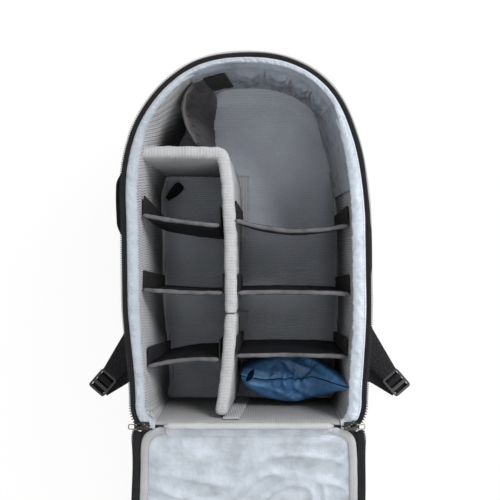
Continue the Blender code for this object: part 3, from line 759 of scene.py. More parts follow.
def make_foot_tapes():
    """Seam tapes on the floor along both side walls, with two raised edges."""
    for side, label in ((-1, "left"), (1, "right")):
        wide = 0.0068 if side < 0 else 0.0048
        rows = []
        for y in np.linspace(-0.200, 0.104, 120):
            row = []
            foot = sway(y) + side * inside_half(y, HALF_WIDTH - abs(WALL_FOOT[side]))
            for t in np.linspace(0, 1, 13):
                x = foot - side * (wide * t - 0.0008)
                edge = math.exp(-(((t - 0.16) / 0.10) ** 2)) + math.exp(-(((t - 0.84) / 0.10) ** 2))
                row.append((x + wobble(y * 30, seed=36.0) * 0.0004, y, FLOOR_TOP + 0.0006 + 0.0011 * edge))
            rows.append(row)
        name = f"foot_tape_{label}"
        thicken(shaped(name, rows, TAB_LOOP, "body", "grey_loop", wrap_cols=False), 0.0008)


def arch_share(share):
    """How far an arch of span and rise 1 still reaches at a share of the other direction."""
    return (1 - min(abs(share), 1) ** ARCH_POWER) ** (1 / ARCH_POWER)


def inside_half(y, inset):
    """Half width of the bag at a place along Y, drawn in by inset."""
    if y > ARCH_Y:
        return (HALF_WIDTH - inset) * arch_share((y - ARCH_Y) / (ARCH_RISE - inset))
    low = CORNER_HEIGHT - HALF_LENGTH
    if y < low:
        share = (low - y) / (CORNER_HEIGHT - inset)
        round_off = (CORNER_WIDTH - inset) * math.sqrt(max(1 - share**2, 0))
        return HALF_WIDTH - CORNER_WIDTH - taper(y) + round_off
    return HALF_WIDTH - taper(y) - inset


def floor_rise(x, y):
    """How far the floor's cloth turns up where it meets the wall inside the arch."""
    place = abs(x - sway(y)) / HALF_WIDTH, max(y - ARCH_Y, 0) / ARCH_RISE
    share = (place[0] ** ARCH_POWER + place[1] ** ARCH_POWER) ** (1 / ARCH_POWER)
    return 0.026 * ease(share, 0.86, 1.0) ** 1.6 * ease(y, 0.150, 0.190) * ease(x, -0.060, -0.035)


def make_floor_padding():
    """Padded floor under loop cloth."""
    inset = 0.0030
    rows = []
    for t in np.sin(np.linspace(0.001, math.pi / 2 - 0.02, 150)):
        y = -HALF_LENGTH + inset + (HALF_LENGTH + ARCH_TOP - 2 * inset) * t
        half = inside_half(y, inset)
        row = []
        for u in np.linspace(-1, 1, 90):
            x = sway(y) + half * u
            soft = wobble(x * 26, y * 26, seed=4.0) * 0.0008
            row.append((x, y, FLOOR_TOP + soft + floor_rise(x, y)))
        rows.append(row + [(sway(y) + half * u, y, FLOOR_TOP - 0.018) for u in np.linspace(1, -1, 12)])
    floor = shaped("floor_padding", rows, FLOOR_LOOP, "body", "grey_loop")
    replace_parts(floor, "floor_pad")


def make_outer_cloth():
    """Outer cloth all round, swelling a little over the foam, and the back panel under it."""
    low, high = BACK_TOP - 0.004, 0.1822
    section = []
    for t in np.linspace(0, 1, 22):
        swell = 0.0022 * math.sin(math.pi * t) ** 0.7
        section.append((swell - 0.0002, low + (high - low) * t))
    section += [(-0.0014, high), (-0.0014, low)]

    def crease(run, share):
        soft = wobble(run * 16, share * 5, seed=6.0) * 0.0012
        soft += wobble(run * 60, share * 9, seed=8.0) * 0.0004
        return soft * math.sin(math.pi * min(share, 1.0)), 0.0

    mesh = swept("outer_cloth", outline(90, True, 0.004), section, True, crease)
    cloth = piece("outer_cloth", mesh, NYLON, "body")
    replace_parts(cloth, "outer_gusset", "outer_base")
    for label, level, out in (("upper", 0.1600, 0.0010), ("lower", 0.0420, 0.0011)):
        welt = [(out + 0.0013 * math.cos(a), level + 0.0013 * math.sin(a)) for a in turns(10)]
        seam = swept(f"{label}_welt", outline(90, True, 0.004), welt, True)
        piece(f"{label}_welt", seam, WEBBING, "body")
        track = outline(90, True, 0.0042)
        name, place = f"{label}_welt_stitch", (out + 0.0012, level - 0.0036)
        make_coil_stitch(name, track, *place, "body", False, TEETH, 0.0026, "black_nylon")
    for vertex in cloth.data.vertices:
        if vertex.co.y < -HALF_LENGTH + 0.004 and abs(vertex.co.x) < LOW_HALF + 0.004:
            vertex.co.z = min(vertex.co.z, 0.1795)
    rows = []
    for height, inset in (
        (BACK_LOW, 0.004), (BACK_LOW + 0.0012, 0.001), (BACK_LOW + 0.003, 0.0),
        (BACK_TOP - 0.001, 0.0), (BACK_TOP, 0.002),
    ):
        place, out, _ = outline(90, True, 0.006)
        rows.append([(*(spot - away * inset), height) for spot, away in zip(place, out)])
    back = shaped("back_panel", rows, NYLON, "body", "black_nylon")
    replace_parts(back, "back_board")


def make_teeth(name, track, body, height, swing=None):
    """A row of moulded teeth along a track."""
    bm = bmesh.new()
    place, out, _ = track
    for spot, outward in zip(place, out):
        along = Vector((outward[1], -outward[0], 0))
        away = Vector((*outward, 0))
        centre = Vector((*spot, height)) + away * TEETH_OUT
        corners = []
        for a, b, c in TOOTH_CORNERS:
            squeeze = 0.72 if b > 0 else 1.0
            reach = along * (a * TEETH_WIDE / 2 * squeeze) + away * (b * TEETH_LONG / 2)
            corners.append(centre + reach + Vector((0, 0, c * TEETH_TALL / 2 * squeeze)))
        verts = [bm.verts.new(flap_place(corner) if swing else corner) for corner in corners]
        for face in TOOTH_FACES:
            bm.faces.new([verts[k] for k in face])
    mesh = finished(bm, name)
    row = piece(name, mesh, TEETH, body)
    mesh.shade_flat()
    return row


def make_zipper():
    """The body's zipper half: woven tape with a raised coil cord, and its teeth."""
    start = 50
    section = [
        (-0.0016, 0.1836), (-0.0010, 0.1846), (0.0030, 0.1847), (0.0060, 0.1846), (0.0070, 0.1853),
        (0.0084, 0.1853), (0.0088, 0.1842), (0.0084, 0.1832), (0.0030, 0.1838),
    ]

    def slack(run, share):
        return wobble(run * 24, share, seed=11.0) * 0.0006, wobble(run * 30, share * 2, seed=12.0) * 0.0004

    mesh = swept("zipper_tape_body", outline(start, spacing=0.003), section, ripple=slack)
    tape = piece("zipper_tape_body", mesh, TAPE, "body")
    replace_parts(tape, "zipper_tape")
    teeth = make_teeth("zipper_teeth_body", outline(start - 8, spacing=TEETH_PITCH), "body", 0.1842)
    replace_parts(teeth, "zipper_teeth")
    make_coil_stitch("zipper_stitch_body", outline(start, spacing=0.0030), 0.0022, 0.1850, "body")


def make_coil_stitch(
    name, track, outset, height, body, swing=False, material=None, dash=0.0019, slot="zipper_tape",
):
    """A line of sewing along a track: short raised stitches."""
    bm = bmesh.new()
    place, out, _ = track
    for spot, away in zip(place, out):
        along = np.array((away[1], -away[0]))
        ends = [np.array((*(spot + away * outset + along * (k * dash / 2)), height)) for k in (-1, 1)]
        sides = np.array((*away, 0)) * 0.00028
        rise = np.array((0, 0, 0.00034))
        ring = [[end + sides, end + rise, end - sides, end - rise] for end in ends]
        ring = flap_place(ring) if swing else np.array(ring)
        verts = [[bm.verts.new(point) for point in loop] for loop in ring]
        for j in range(4):
            k = (j + 1) % 4
            bm.faces.new((verts[0][j], verts[0][k], verts[1][k], verts[1][j]))
        bm.faces.new(verts[0])
        bm.faces.new(verts[1])
    return piece(name, finished(bm, name), material or TAPE, body)


def rounded_copy(name, node, material, body, width, segments=3):
    """The CAD piece's own shape with its edges rounded, as a moulded or cast piece."""
    mesh = frame["nodes"][node].data.copy()
    mesh.materials.clear()
    bm = bmesh.new()
    bm.from_mesh(mesh)
    bmesh.ops.remove_doubles(bm, verts=bm.verts, dist=1e-6)
    bmesh.ops.dissolve_limit(bm, angle_limit=math.radians(2), verts=bm.verts, edges=bm.edges)
    bm.to_mesh(mesh)
    bm.free()
    obj = piece(name, mesh, material, body)
    bevel = obj.modifiers.new("round", "BEVEL")
    bevel.width = width
    bevel.segments = segments
    bevel.limit_method = "ANGLE"
    bevel.angle_limit = math.radians(30)
    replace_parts(obj, node)
    return obj


def make_sliders():
    for side in ("left", "right"):
        name = f"zipper_slider_{side}"
        body = rounded_copy(name, f"slider_{side}", GUN_METAL, "body", 0.0005)
        low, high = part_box(f"slider_{side}")
        outer = low.x if side == "left" else high.x
        for vertex in body.data.vertices:
            vertex.co.x = outer + (vertex.co.x - outer) * 1.35
            vertex.co.y = HINGE_Y + (vertex.co.y - HINGE_Y) * 1.12
        loop = frame["nodes"][f"pull_{side}"]
        loop.material_slots[0].material = PULL_METAL
        loop.data.shade_smooth()


def make_hinge():
    """Padded roll on the bottom wall, and the cloth that bends from it into the flap."""
    rows = []
    for x in np.linspace(*HINGE_SPAN, 160):
        loop = []
        ends = ease(min(x - HINGE_SPAN[0], HINGE_SPAN[1] - x), -0.003, 0.008)
        for angle in turns(18):
            radius = 0.0041 * ends + wobble(x * 60, angle * 1.2, seed=13.0) * 0.0006
            loop.append((x, HINGE_Y + radius * math.cos(angle), HINGE_Z + radius * math.sin(angle)))
        rows.append(loop)
    roll = shaped("hinge_padding", rows, BORDER_LOOP, "body", "pale_loop")
    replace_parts(roll, "hinge_roll")
    stitched = np.arange(HINGE_SPAN[0] + 0.006, HINGE_SPAN[1] - 0.006, 0.0036)
    line = np.array([(x, HINGE_Y - 0.0034) for x in stitched])
    track = line, np.tile((0.0, -1.0), (len(line), 1)), None
    make_coil_stitch("hinge_stitch", track, 0, HINGE_Z + 0.0028, "body", False, THREAD, 0.0022, "pale_loop")
    rows = []
    for x in np.linspace(HINGE_SPAN[0] + 0.002, HINGE_SPAN[1] - 0.002, 140):
        row = []
        for t in np.linspace(0, 1, 24):
            along = 0.0030 + 0.0160 * t
            fold = 0.5 - abs(wobble(x * 34, t * 1.5, seed=14.0)) * 2
            depth = 0.0012 + 0.0030 * t**0.5 - 0.0030 * fold * math.sin(math.pi * t)
            row.append(flap_place((x, HINGE_Y + along, HINGE_Z + depth)))
        rows.append(row)
    cloth = shaped("hinge_cloth", rows, LINING, None, "satin", wrap_cols=False)
    thicken(cloth, -0.0008)
    near = flap_place((0, HINGE_Y + 0.004, HINGE_Z + 0.004))
    far = flap_place((0, HINGE_Y + 0.015, HINGE_Z + 0.004))
    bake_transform(cloth)
    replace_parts(cloth, "flap_hinge_tape")


def bezier(first, control, last, count=40):
    """Points along a curve that leaves first towards control and arrives at last."""
    t = np.linspace(0, 1, count)[:, None]
    first, control, last = (np.array(point, float) for point in (first, control, last))
    return first * (1 - t) ** 2 + control * 2 * t * (1 - t) + last * t**2


def panel_mesh(
    name, head, foot, low, high, thick, soft=0.0006, seed=0.0, belly=0.1, edge=None, tucked=0.72,
):
    """A padded panel that stands between a foot line and a head line, its free edge rolled round."""
    half = thick / 2
    edge = edge or half
    section = [(-half, z) for z in np.linspace(low, high - edge, 14)]
    for a in np.linspace(0, math.pi, 12)[1:-1]:
        across = math.copysign(abs(math.cos(a)) ** (edge / half), math.cos(a))
        section.append((-half * across, high - edge + edge * math.sin(a)))
    section += [(half, z) for z in np.linspace(high - edge, low, 14)]
    along = unit(np.gradient(head, axis=0))
    count = len(head)
    points = np.zeros((count, len(section), 3))
    for i in range(count):
        side = np.array((-along[i][1], along[i][0]))
        near = min(i, count - 1 - i) / 2.5
        tuck = math.sqrt(1 - max(1 - near, 0) ** 2) * tucked + 1 - tucked
        for j, (offset, z) in enumerate(section):
            rise = (z - low) / (high - low)
            plump = 1 + belly * math.sin(math.pi * min(rise, 1))
            give = wobble(i * 0.22, z * 40, seed=seed + (0.5 if offset > 0 else 0)) * soft
            spot = foot[i] + (head[i] - foot[i]) * rise + side * (offset * plump * tuck + give)
            points[i, j] = (*spot, z + wobble(i * 0.3, offset * 90, seed=seed + 3) * soft * rise)
    return grid_mesh(name, points)


def patch(name, corners, material, body, slot, depth=0.0012, ripple=0.0004, seed=0.0, steps=14):
    """A thin strip of cloth spread between four corners, laid on another piece."""
    a, b, c, d = (np.array(corner, float) for corner in corners)
    across = np.cross(b - a, d - a)
    across /= np.linalg.norm(across)
    rows = []
    for u in np.linspace(0, 1, steps):
        row = []
        for v in np.linspace(0, 1, steps):
            spot = (a * (1 - u) + b * u) * (1 - v) + (d * (1 - u) + c * u) * v
            row.append(spot + across * wobble(u * 3, v * 3, seed=seed) * ripple)
        rows.append(row)
    strip = thicken(shaped(name, rows, material, body, slot, wrap_cols=False), depth)
    return strip


def centre_at(y):
    """Middle line of the centre divider at a place along Y."""
    first, second = (CENTRE_HEAD, CENTRE_SEAM) if y > CENTRE_SEAM[1] else (CENTRE_SEAM, CENTRE_FOOT)
    share = (y - first[1]) / (second[1] - first[1])
    bulge = 0.0054 * share * (1 - share) if first == CENTRE_SEAM else 0
    return first[0] + (second[0] - first[0]) * share + bulge


def centre_lean(x, y):
    """How far the foot of the centre divider stands to the right of its top."""
    return 0.0070 * ease(y, -0.060, 0.080) * ease(x, -0.100, -0.040) + 0.0105 * ease(-y, 0.100, 0.215)


def bent_line(points, count, soft):
    """Evenly spaced places along a line through a few points, its bends rounded."""
    points = np.asarray(points, float)
    for smoothing in (0, soft):
        run = length_run(points)
        even = np.linspace(0, run[-1], count)
        points = spots_at(even, run, points)
        for _ in range(smoothing):
            points[1:-1] = (points[:-2] + points[1:-1] * 2 + points[2:]) / 4
    return points


def make_centre_divider():
    """Long padded divider in two panels with a sewn crease between them, its arm and its tabs."""
    low, top = FLOOR_TOP - 0.001, DIVIDER_TOP
    seam_x, seam_y = CENTRE_SEAM
    route = [(-0.1365, 0.1150), (-0.0850, 0.1160), CENTRE_CORNER, (-0.0264, 0.0850), (-0.0219, 0.0100)]
    upper_head = bent_line(route + [(seam_x, seam_y + 0.0005)], 150, 10)
    upper_foot = [(x + centre_lean(x, y), y - 0.0105 * ease(y, 0.060, 0.110)) for x, y in upper_head]
    upper_nodes = ["centre_divider_upper", "centre_divider_arm"]
    lower_head = bezier((seam_x, seam_y - 0.0012), (seam_x - 0.004, -0.165), CENTRE_FOOT, 48)
    lower_foot = [(x + centre_lean(x, y), y) for x, y in lower_head]
    for name, nodes, head, foot, seed in (
        ("centre_divider_upper", upper_nodes, upper_head, np.array(upper_foot), 21.0),
        ("centre_divider_lower", ["centre_divider_lower"], lower_head, np.array(lower_foot), 24.0),
    ):
        mesh = panel_mesh(f"{name}_padding", head, foot, low, top, 0.0158, 0.0008, seed, 0.06, 0.0060, 0.25)
        pad = piece(f"{name}_padding", mesh, PALE_LOOP, "body")
        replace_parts(pad, *nodes)
    level = FLOOR_TOP + 0.0024
    for name, high, low_y in (("floor_tab_upper", 0.098, 0.008), ("floor_tab_lower", -0.100, -0.132)):
        lean = centre_lean(0, (high + low_y) / 2)
        right = centre_at((high + low_y) / 2) + 0.0205 + lean
        left = min(centre_at(high), centre_at(low_y)) + 0.006
        corners = ((left, low_y, level), (right, low_y, level), (right, high, level), (left, high, level))
        tab = patch(
            f"{name}_cloth", corners, TAB_LOOP, "body", "grey_loop", 0.0012, 0.0003, 31.0)
        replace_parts(tab, name)
    wall = -HALF_LENGTH + 0.0086
    corners = (
        (-0.031, wall, 0.1720), (-0.010, wall, 0.1720),
        (0.002, wall - 0.002, 0.050), (-0.026, wall - 0.002, 0.050),
    )
    tab = patch(
        "wall_tab_cloth", corners, TAB_LOOP, "body", "grey_loop",
        -0.0014, 0.0012, 33.0)
    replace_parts(tab, "wall_tab")


def make_small_dividers():
    """Black dividers, each with hook tabs turned up along the wall and the centre divider."""
    for name, (side, wall_y, centre_y, bow, lean) in SMALL_DIVIDERS.items():
        inner = side * max(side * centre_at(centre_y + slid) for slid in (-0.015, 0, 0.015)) + side * 0.0094
        room = HALF_WIDTH - min(inside_half(wall_y + 0.040, 0), inside_half(wall_y - 0.004, 0))
        lean_side = sway(wall_y)
        padding = wall_depth((side, 0), wall_y)
        head_x = (lean_side + side * (HALF_WIDTH - room - padding - DIVIDER_GAP), inner)
        foot_inner = inner + side * 0.001 + centre_lean(0, centre_y)
        foot_x = (lean_side + WALL_FOOT[side] - side * (room + DIVIDER_GAP), foot_inner)
        lines = []
        for (outer, near), drop in ((head_x, 0.0), (foot_x, lean)):
            sag = (wall_y + centre_y) / 2 - drop - 2 * bow
            ends = (outer, wall_y - drop), (near, centre_y - drop)
            lines.append(bezier(ends[0], ((outer + near) / 2, sag), ends[1], 46))
        head, foot = lines
        seed = 40 + 50 * wall_y
        low = FLOOR_TOP + 0.0042
        mesh = panel_mesh(f"{name}_panel", head, foot, low, SMALL_TOP, 0.0062, 0.0006, seed, 0.15)
        pad = piece(f"{name}_panel", mesh, DIVIDER_CLOTH, name)
        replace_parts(pad, name)
        high, low = SMALL_TOP - 0.003, FLOOR_TOP + 0.0044
        for end, x, y in (
            ("wall", (head_x[0], foot_x[0]), wall_y),
            ("centre", (head_x[1], foot_x[1]), centre_y),
        ):
            corners = (
                (x[0], y - 0.001, high), (x[0], y + 0.0250, high - 0.003),
                (x[1], y - lean + 0.0170, low), (x[1], y - lean - 0.001, low),
            )
            patch(
                f"{name}_{end}_hook", corners, BLACK_HOOK, name, "black_divider",
                0.0016, 0.0005, seed + 1)


def make_curved_divider():
    """Soft taupe divider that leans into the arch, with its black hook tab on the wall."""
    head = bent_line(CURVED_HEAD, 110, 30)
    foot = bent_line(CURVED_FOOT, 110, 30)
    low = FLOOR_TOP + 0.0015
    mesh = panel_mesh("curved_divider_panel", head, foot, low, CURVED_TOP, 0.0052, 0.0012, 61.0, 0.3)
    for vertex in mesh.vertices:
        _, y, z = vertex.co
        rise = (z - FLOOR_TOP) / (CURVED_TOP - FLOOR_TOP)
        swirl = wobble(y * 14, rise * 1.5, seed=66.0)
        fold = 0.5 - abs(wobble(y * 34 + 1.2 * rise + swirl, rise * 1.3, seed=62.0)) * 2.4
        hollow = math.exp(-(((y - 0.178) / 0.014) ** 2 + ((rise - 0.62) / 0.26) ** 2))
        slack = math.sin(math.pi * min(max(rise, 0), 1))
        sewn = max(math.sin(y * 2 * math.pi / 0.0125), 0) ** 2 * math.exp(-(((rise - 0.80) / 0.06) ** 2))
        uneven = 0.0050 * fold + 0.0016 * wobble(y * 90, rise * 5, seed=64.0)
        vertex.co.x += uneven * slack - 0.0120 * hollow
        vertex.co.x -= 0.0060 * sewn * ease(y, 0.135, 0.145)
    pad = piece("curved_divider_panel", mesh, TAUPE, "curved_divider")
    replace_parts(pad, "curved_divider")
    rows = []
    level = CURVED_TOP - 0.0012
    for x, y in head:
        rows.append([(x + 0.0022 * math.cos(a), y, level + 0.0022 * math.sin(a)) for a in turns(10)])
    shaped("curved_divider_piping", rows, TAUPE, "curved_divider", "taupe_nylon")
    corners = (
        (-0.0570, 0.2105, 0.164), (-0.0290, 0.2165, 0.164),
        (-0.0200, 0.2140, 0.110), (-0.0480, 0.2085, 0.110),
    )
    patch(
        "curved_divider_hook", corners, BLACK_HOOK, "curved_divider", "black_divider",
        0.0016, 0.0012, 63.0)


def make_floor_loop():
    """Small webbing loop sewn to the floor of the upper left bay, standing up a little at its bend."""
    low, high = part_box("floor_loop")
    base = np.array((low.x + 0.002, low.y - 0.006))
    reach = np.array((high.x - low.x - 0.003, high.y - low.y - 0.001))
    side = np.array((-reach[1], reach[0])) / np.linalg.norm(reach)
    rows = []
    for t in np.linspace(0, 1, 60):
        out = math.sin(math.pi * t)
        spread = 0.0042 * math.sin(2 * math.pi * t)
        spot = base + reach * out + side * spread
        rise = FLOOR_TOP + 0.0018 + 0.0065 * out + 0.0020 * t
        rows.append([(*(spot - side * 0.0030), rise - 0.0016), (*(spot + side * 0.0030), rise + 0.0022)])
    strip = shaped("floor_loop_webbing", rows, WEBBING, "body", "webbing", wrap_cols=False)
    loop = thicken(strip, 0.0014)
    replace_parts(loop, "floor_loop")


def inflate(obj, pressure, cap, bending=0.15, frames=20):
    """Blows the cloth of a piece up a little, as its stuffing does, and keeps the result."""
    start = np.array([v.co for v in obj.data.vertices])
    cloth = obj.modifiers.new("stuffing", "CLOTH")
    cloth.settings.quality = 6
    cloth.settings.mass = 0.3
    cloth.settings.tension_stiffness = 15
    cloth.settings.compression_stiffness = 15
    cloth.settings.bending_stiffness = bending
    cloth.settings.use_pressure = True
    cloth.settings.uniform_pressure_force = pressure
    cloth.settings.effector_weights.gravity = 0
    scene = bpy.context.scene
    for step in range(1, frames + 1):
        scene.frame_set(step)
    shape = obj.evaluated_get(bpy.context.evaluated_depsgraph_get()).data
    moved = np.array([v.co for v in shape.vertices])
    obj.modifiers.remove(cloth)
    scene.frame_set(1)
    shift = moved - start
    length = np.maximum(np.linalg.norm(shift, axis=1), 1e-9)
    shift *= np.minimum(1, cap / length)[:, None]
    obj.data.vertices.foreach_set("co", (start + shift).ravel())
    obj.data.update()


def flat_sack(name, width, height, columns=72, rows=54):
    """Two sheets sewn together all round, lying flat against each other in the XZ plane."""
    bm = bmesh.new()
    spots = {}

    def spot(side, i, k):
        sewn = i in (0, columns) or k in (0, rows)
        key = (0 if sewn else side, i, k)
        if key not in spots:
            u, v = 2 * i / columns - 1, 2 * k / rows - 1
            gap = 0 if sewn else side * 0.002 * (1 - u**8) * (1 - v**8)
            x = width / 2 * u * math.sqrt(1 - 0.12 * v * v)
            z = height / 2 * v * math.sqrt(1 - 0.12 * u * u)
            spots[key] = bm.verts.new((x, gap, z))
        return spots[key]

    for side in (-1, 1):
        for i in range(columns):
            for k in range(rows):
                corners = ((i, k), (i + 1, k), (i + 1, k + 1), (i, k + 1))
                bm.faces.new([spot(side, a, b) for a, b in corners])
    return finished(bm, name)


def make_mouth(sack, centre):
    """Open corner of the stuff sack: a dark almond of painted shade standing for the opening, with a rolled
    hem, laid on the sack's surface.
    """
    bpy.context.view_layer.update()
    along = Vector((0.515, 0.857, 0))
    across = Vector((0.857, -0.515, 0))

    def laid(spot, lift):
        hit, place, _, _ = sack.ray_cast((spot.x, spot.y, 1), (0, 0, -1))
        if not hit:
            _, place, _, _ = sack.closest_point_on_mesh((spot.x, spot.y, centre.z))
        return place + Vector((0, 0, lift))

    mouth, hem = [], []
    for angle in turns(40):
        side = across * math.cos(angle)
        reach = side * (0.0046 * abs(math.cos(angle)) ** 0.6) + along * (0.0100 * math.sin(angle))
        mouth.append([laid(centre + reach * k, 0.0008) for k in (1.0, 0.75, 0.5, 0.25, 0.05)])
        edge = laid(centre + reach, 0.0008)
        hem.append([
            edge + side * (0.0008 * math.cos(a)) + Vector((0, 0, 0.0008 * math.sin(a))) for a in turns(8)
        ])
    for name, rows, finish, looped in (
        # The mouth is a sheet of painted shade for the dark inside of the opening.
        ("sack_mouth", mouth, COVER_DARK, False),
        ("sack_hem", hem, COVER, True),
    ):
        shaped(name, rows, finish, "rain_cover_pouch", "cover_blue", wrap_rows=True, wrap_cols=looped)


def make_sack_seam(sack, crest):
    """Turned seam along the top edge of the sack."""
    line = np.array(sorted(tuple(sack.data.vertices[k].co) for k in crest))
    rows = []
    for x, y, z in line:
        rows.append([(x, y + 0.0006 * math.cos(a), z + 0.0006 + 0.0010 * math.sin(a)) for a in turns(10)])
    shaped("sack_seam", rows, COVER_DARK, "rain_cover_pouch", "cover_blue")


def make_pouch():
    """Stuff sack blown up from two sewn sheets, gathered at the seam on top, open at one corner."""
    low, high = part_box("rain_cover_pouch")
    half = (high - low) / 2
    middle = (low + high) / 2 + Vector((0.0060, -0.0050, 0))
    sack = piece("rain_cover_sack", flat_sack("rain_cover_sack", 0.148, 0.108), COVER, None)
    crest = [v.index for v in sack.data.vertices if abs(v.co.y) < 1e-6 and v.co.z > 0.25 * half.z]
    inflate(sack, 17, 0.040, 0.05)
    spots = np.array([v.co for v in sack.data.vertices])
    size = np.ptp(spots, axis=0)
    spots *= np.array((0.1450, half.y * 2.02, half.z * 1.98)) / size
    spots[:, 1] *= 1 + 0.5 * np.minimum(spots[:, 0] / half.x, 0) ** 2
    for k, (x, y, z) in enumerate(spots):
        crown = max(z / half.z, 0)
        y += crown**2 * (0.0060 + 0.0028 * math.sin(x * 60 + 0.5) - 0.04 * x)
        y += 0.0016 * wobble(x * 30, z * 30, seed=77.0)
        crease = 0.5 - abs(wobble(x * 34 + 60 * y, y * 30, z * 20)) * 2
        tuck = math.sin(x * 2 * math.pi / 0.015 + 40 * y + 2.5 * wobble(x * 30, y * 40, seed=78.0))
        gather = tuck * math.exp(-(((x + 0.002) / 0.024) ** 2) - (y / 0.015) ** 2)
        z += crown * (crease * 0.0042 + gather * 0.0062) - 0.0040 * crown * math.exp(-((y / 0.0035) ** 2))
        y = y * (1 - 0.35 * ease(x, 0.030, 0.070)) + 0.0025 * ease(x, 0.010, 0.066)
        x -= 0.0080 * ease(y, 0, 0.020) * ease(-x, 0.030, 0.060)
        z += 0.0450 * ease(x, 0.020, 0.072)
        sack.data.vertices[k].co = (middle.x + x, middle.y + y, middle.z + z)
    sack.data.update()
    make_mouth(sack, middle + Vector((-0.0590, 0.0085, 0.75 * half.z)))
    make_sack_seam(sack, crest)
    smooth = sack.modifiers.new("finer", "SUBSURF")
    smooth.levels = smooth.render_levels = 1
    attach(sack, "rain_cover_pouch")
    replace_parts(sack, "rain_cover_pouch")


def flap_track(inset, spacing=0.004, smooth=10, open_width=0.0, start=FLAP_START):
    """The shut flap's outline drawn in by inset, cut straight along the hinge, with rounded corners."""
    place, out, _ = outline(90, spacing=0.002)
    place = place - out * inset
    cut = HINGE_Y + start + inset
    place = place[place[:, 1] > cut]
    ends = place[-1], place[0]
    base = np.linspace((ends[0][0], cut), (ends[1][0], cut), 110)
    loop = np.concatenate([place, base])
    for _ in range(smooth):
        loop = (loop + np.roll(loop, 1, axis=0) + np.roll(loop, -1, axis=0)) / 3
    closed = np.concatenate([loop, loop[:1]])
    run = length_run(closed)
    even = np.linspace(0, run[-1], int(run[-1] / spacing) + 1)[:-1]
    place = spots_at(even, run, closed)
    along = unit(np.roll(place, -1, axis=0) - np.roll(place, 1, axis=0))
    out = np.stack([-along[:, 1], along[:, 0]], axis=1)
    if open_width:
        first = int(np.argmax(place[:, 1]))
        order = np.roll(np.arange(len(place)), len(place) // 2 - first)
        keep = [k for k in order if place[k][1] > cut + 0.004 or abs(place[k][0]) > open_width / 2]
        return place[keep], out[keep], even[: len(keep)]
    return place, out, even


def swing_open(mesh):
    """Moves a mesh made on the shut flap to where the flap lies open."""
    spots = np.array([v.co for v in mesh.vertices])
    mesh.vertices.foreach_set("co", flap_place(spots).ravel())
    mesh.update()
    return mesh


def make_flap():
    """Front flap: outer shell, padded border, wrinkled lining, and its zipper half."""
    inner = HINGE_Z + FLAP_GAP
    outer = inner + FLAP_THICK
    rows = []
    for inset, height in (
        (0.016, inner + 0.0016), (0.004, inner + 0.0016), (0.0012, inner + 0.0028), (0.0, inner + 0.0055),
        (0.0, outer - 0.0030), (0.0016, outer - 0.0010), (0.005, outer - 0.0002), (0.030, outer),
    ):
        place, _, _ = flap_track(inset, 0.004, 6)
        share = np.linspace(0, len(place) - 1, 300, endpoint=False).astype(int)
        rows.append([(*place[k], height) for k in share])
    mesh = swing_open(grid_mesh("flap_shell_cloth", rows))
    shell = piece("flap_shell_cloth", mesh, NYLON, "flap")
    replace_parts(shell, "flap_shell", "flap_board")
    section = []
    for angle in turns(20):
        section.append((0.0054 * math.cos(angle), inner + 0.0002 + 0.0023 * math.sin(angle)))

    def soft(run, share):
        outward = wobble(run * 40, share * 3, seed=81.0) * 0.0006
        return outward, wobble(run * 70, share * 2, seed=82.0) * 0.0004

    track = flap_track(0.0058, 0.003, 130, 0.180, 0.0032)
    ring = swing_open(swept("flap_border_padding", track, section, False, soft, 0.022))
    border = piece("flap_border_padding", ring, BORDER_LOOP, "flap")
    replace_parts(border, "flap_border")
    stitches = flap_track(0.0108, 0.0034, 130, 0.175, 0.0040)
    level = inner - 0.0010
    make_coil_stitch("flap_border_stitch", stitches, 0, level, "flap", True, THREAD, 0.0022, "pale_loop")
    rows = []
    first = HINGE_Y + 0.0120
    last = ARCH_TOP - 0.0085
    for t in np.linspace(0, 1, 150):
        y = first + (last - first) * t
        half = inside_half(y, 0.0085) - 0.026 * (1 - math.sqrt(1 - max(1 - (y - first) / 0.026, 0) ** 2))
        row = []
        for u in np.linspace(-1, 1, 110):
            x = sway(y) + half * u
            edge = min(half * (1 - abs(u)), y - first, last - y)
            fade = min(edge / 0.016, 1.0)
            swirl = wobble(x * 9, y * 9, seed=83.0) * 1.6
            fold = 1 - abs(wobble(x * 7 + swirl, y * 30 + swirl, seed=84.0)) * 2.4
            fine = wobble(x * 60, y * 110, seed=85.0)
            bulge = 0.0050 * max(fold, 0) ** 1.5 + 0.0006 * fine + 0.0004
            row.append((x, y, inner + 0.0006 - fade * bulge))
        rows.append(row)
    mesh = swing_open(grid_mesh("flap_lining_satin", rows, wrap_cols=False))
    lining = thicken(piece("flap_lining_satin", mesh, LINING, "flap"), -0.0006)
    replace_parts(lining, "flap_lining")
    band = [
        (-0.0016, inner + 0.0010), (0.0030, inner + 0.0008), (0.0070, inner + 0.0002),
        (0.0084, inner + 0.0003), (0.0088, inner + 0.0012), (0.0080, inner + 0.0022),
        (-0.0010, inner + 0.0020),
    ]
    mesh = swing_open(swept("flap_zipper_band", outline(ZIP_END, spacing=0.003), band))
    tape = piece("flap_zipper_band", mesh, TAPE, "flap")
    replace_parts(tape, "flap_zipper_tape")
    track = outline(ZIP_END, spacing=TEETH_PITCH)
    teeth = make_teeth("flap_zipper_row", track, "flap", inner + 0.0012, True)
    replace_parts(teeth, "flap_zipper_teeth")


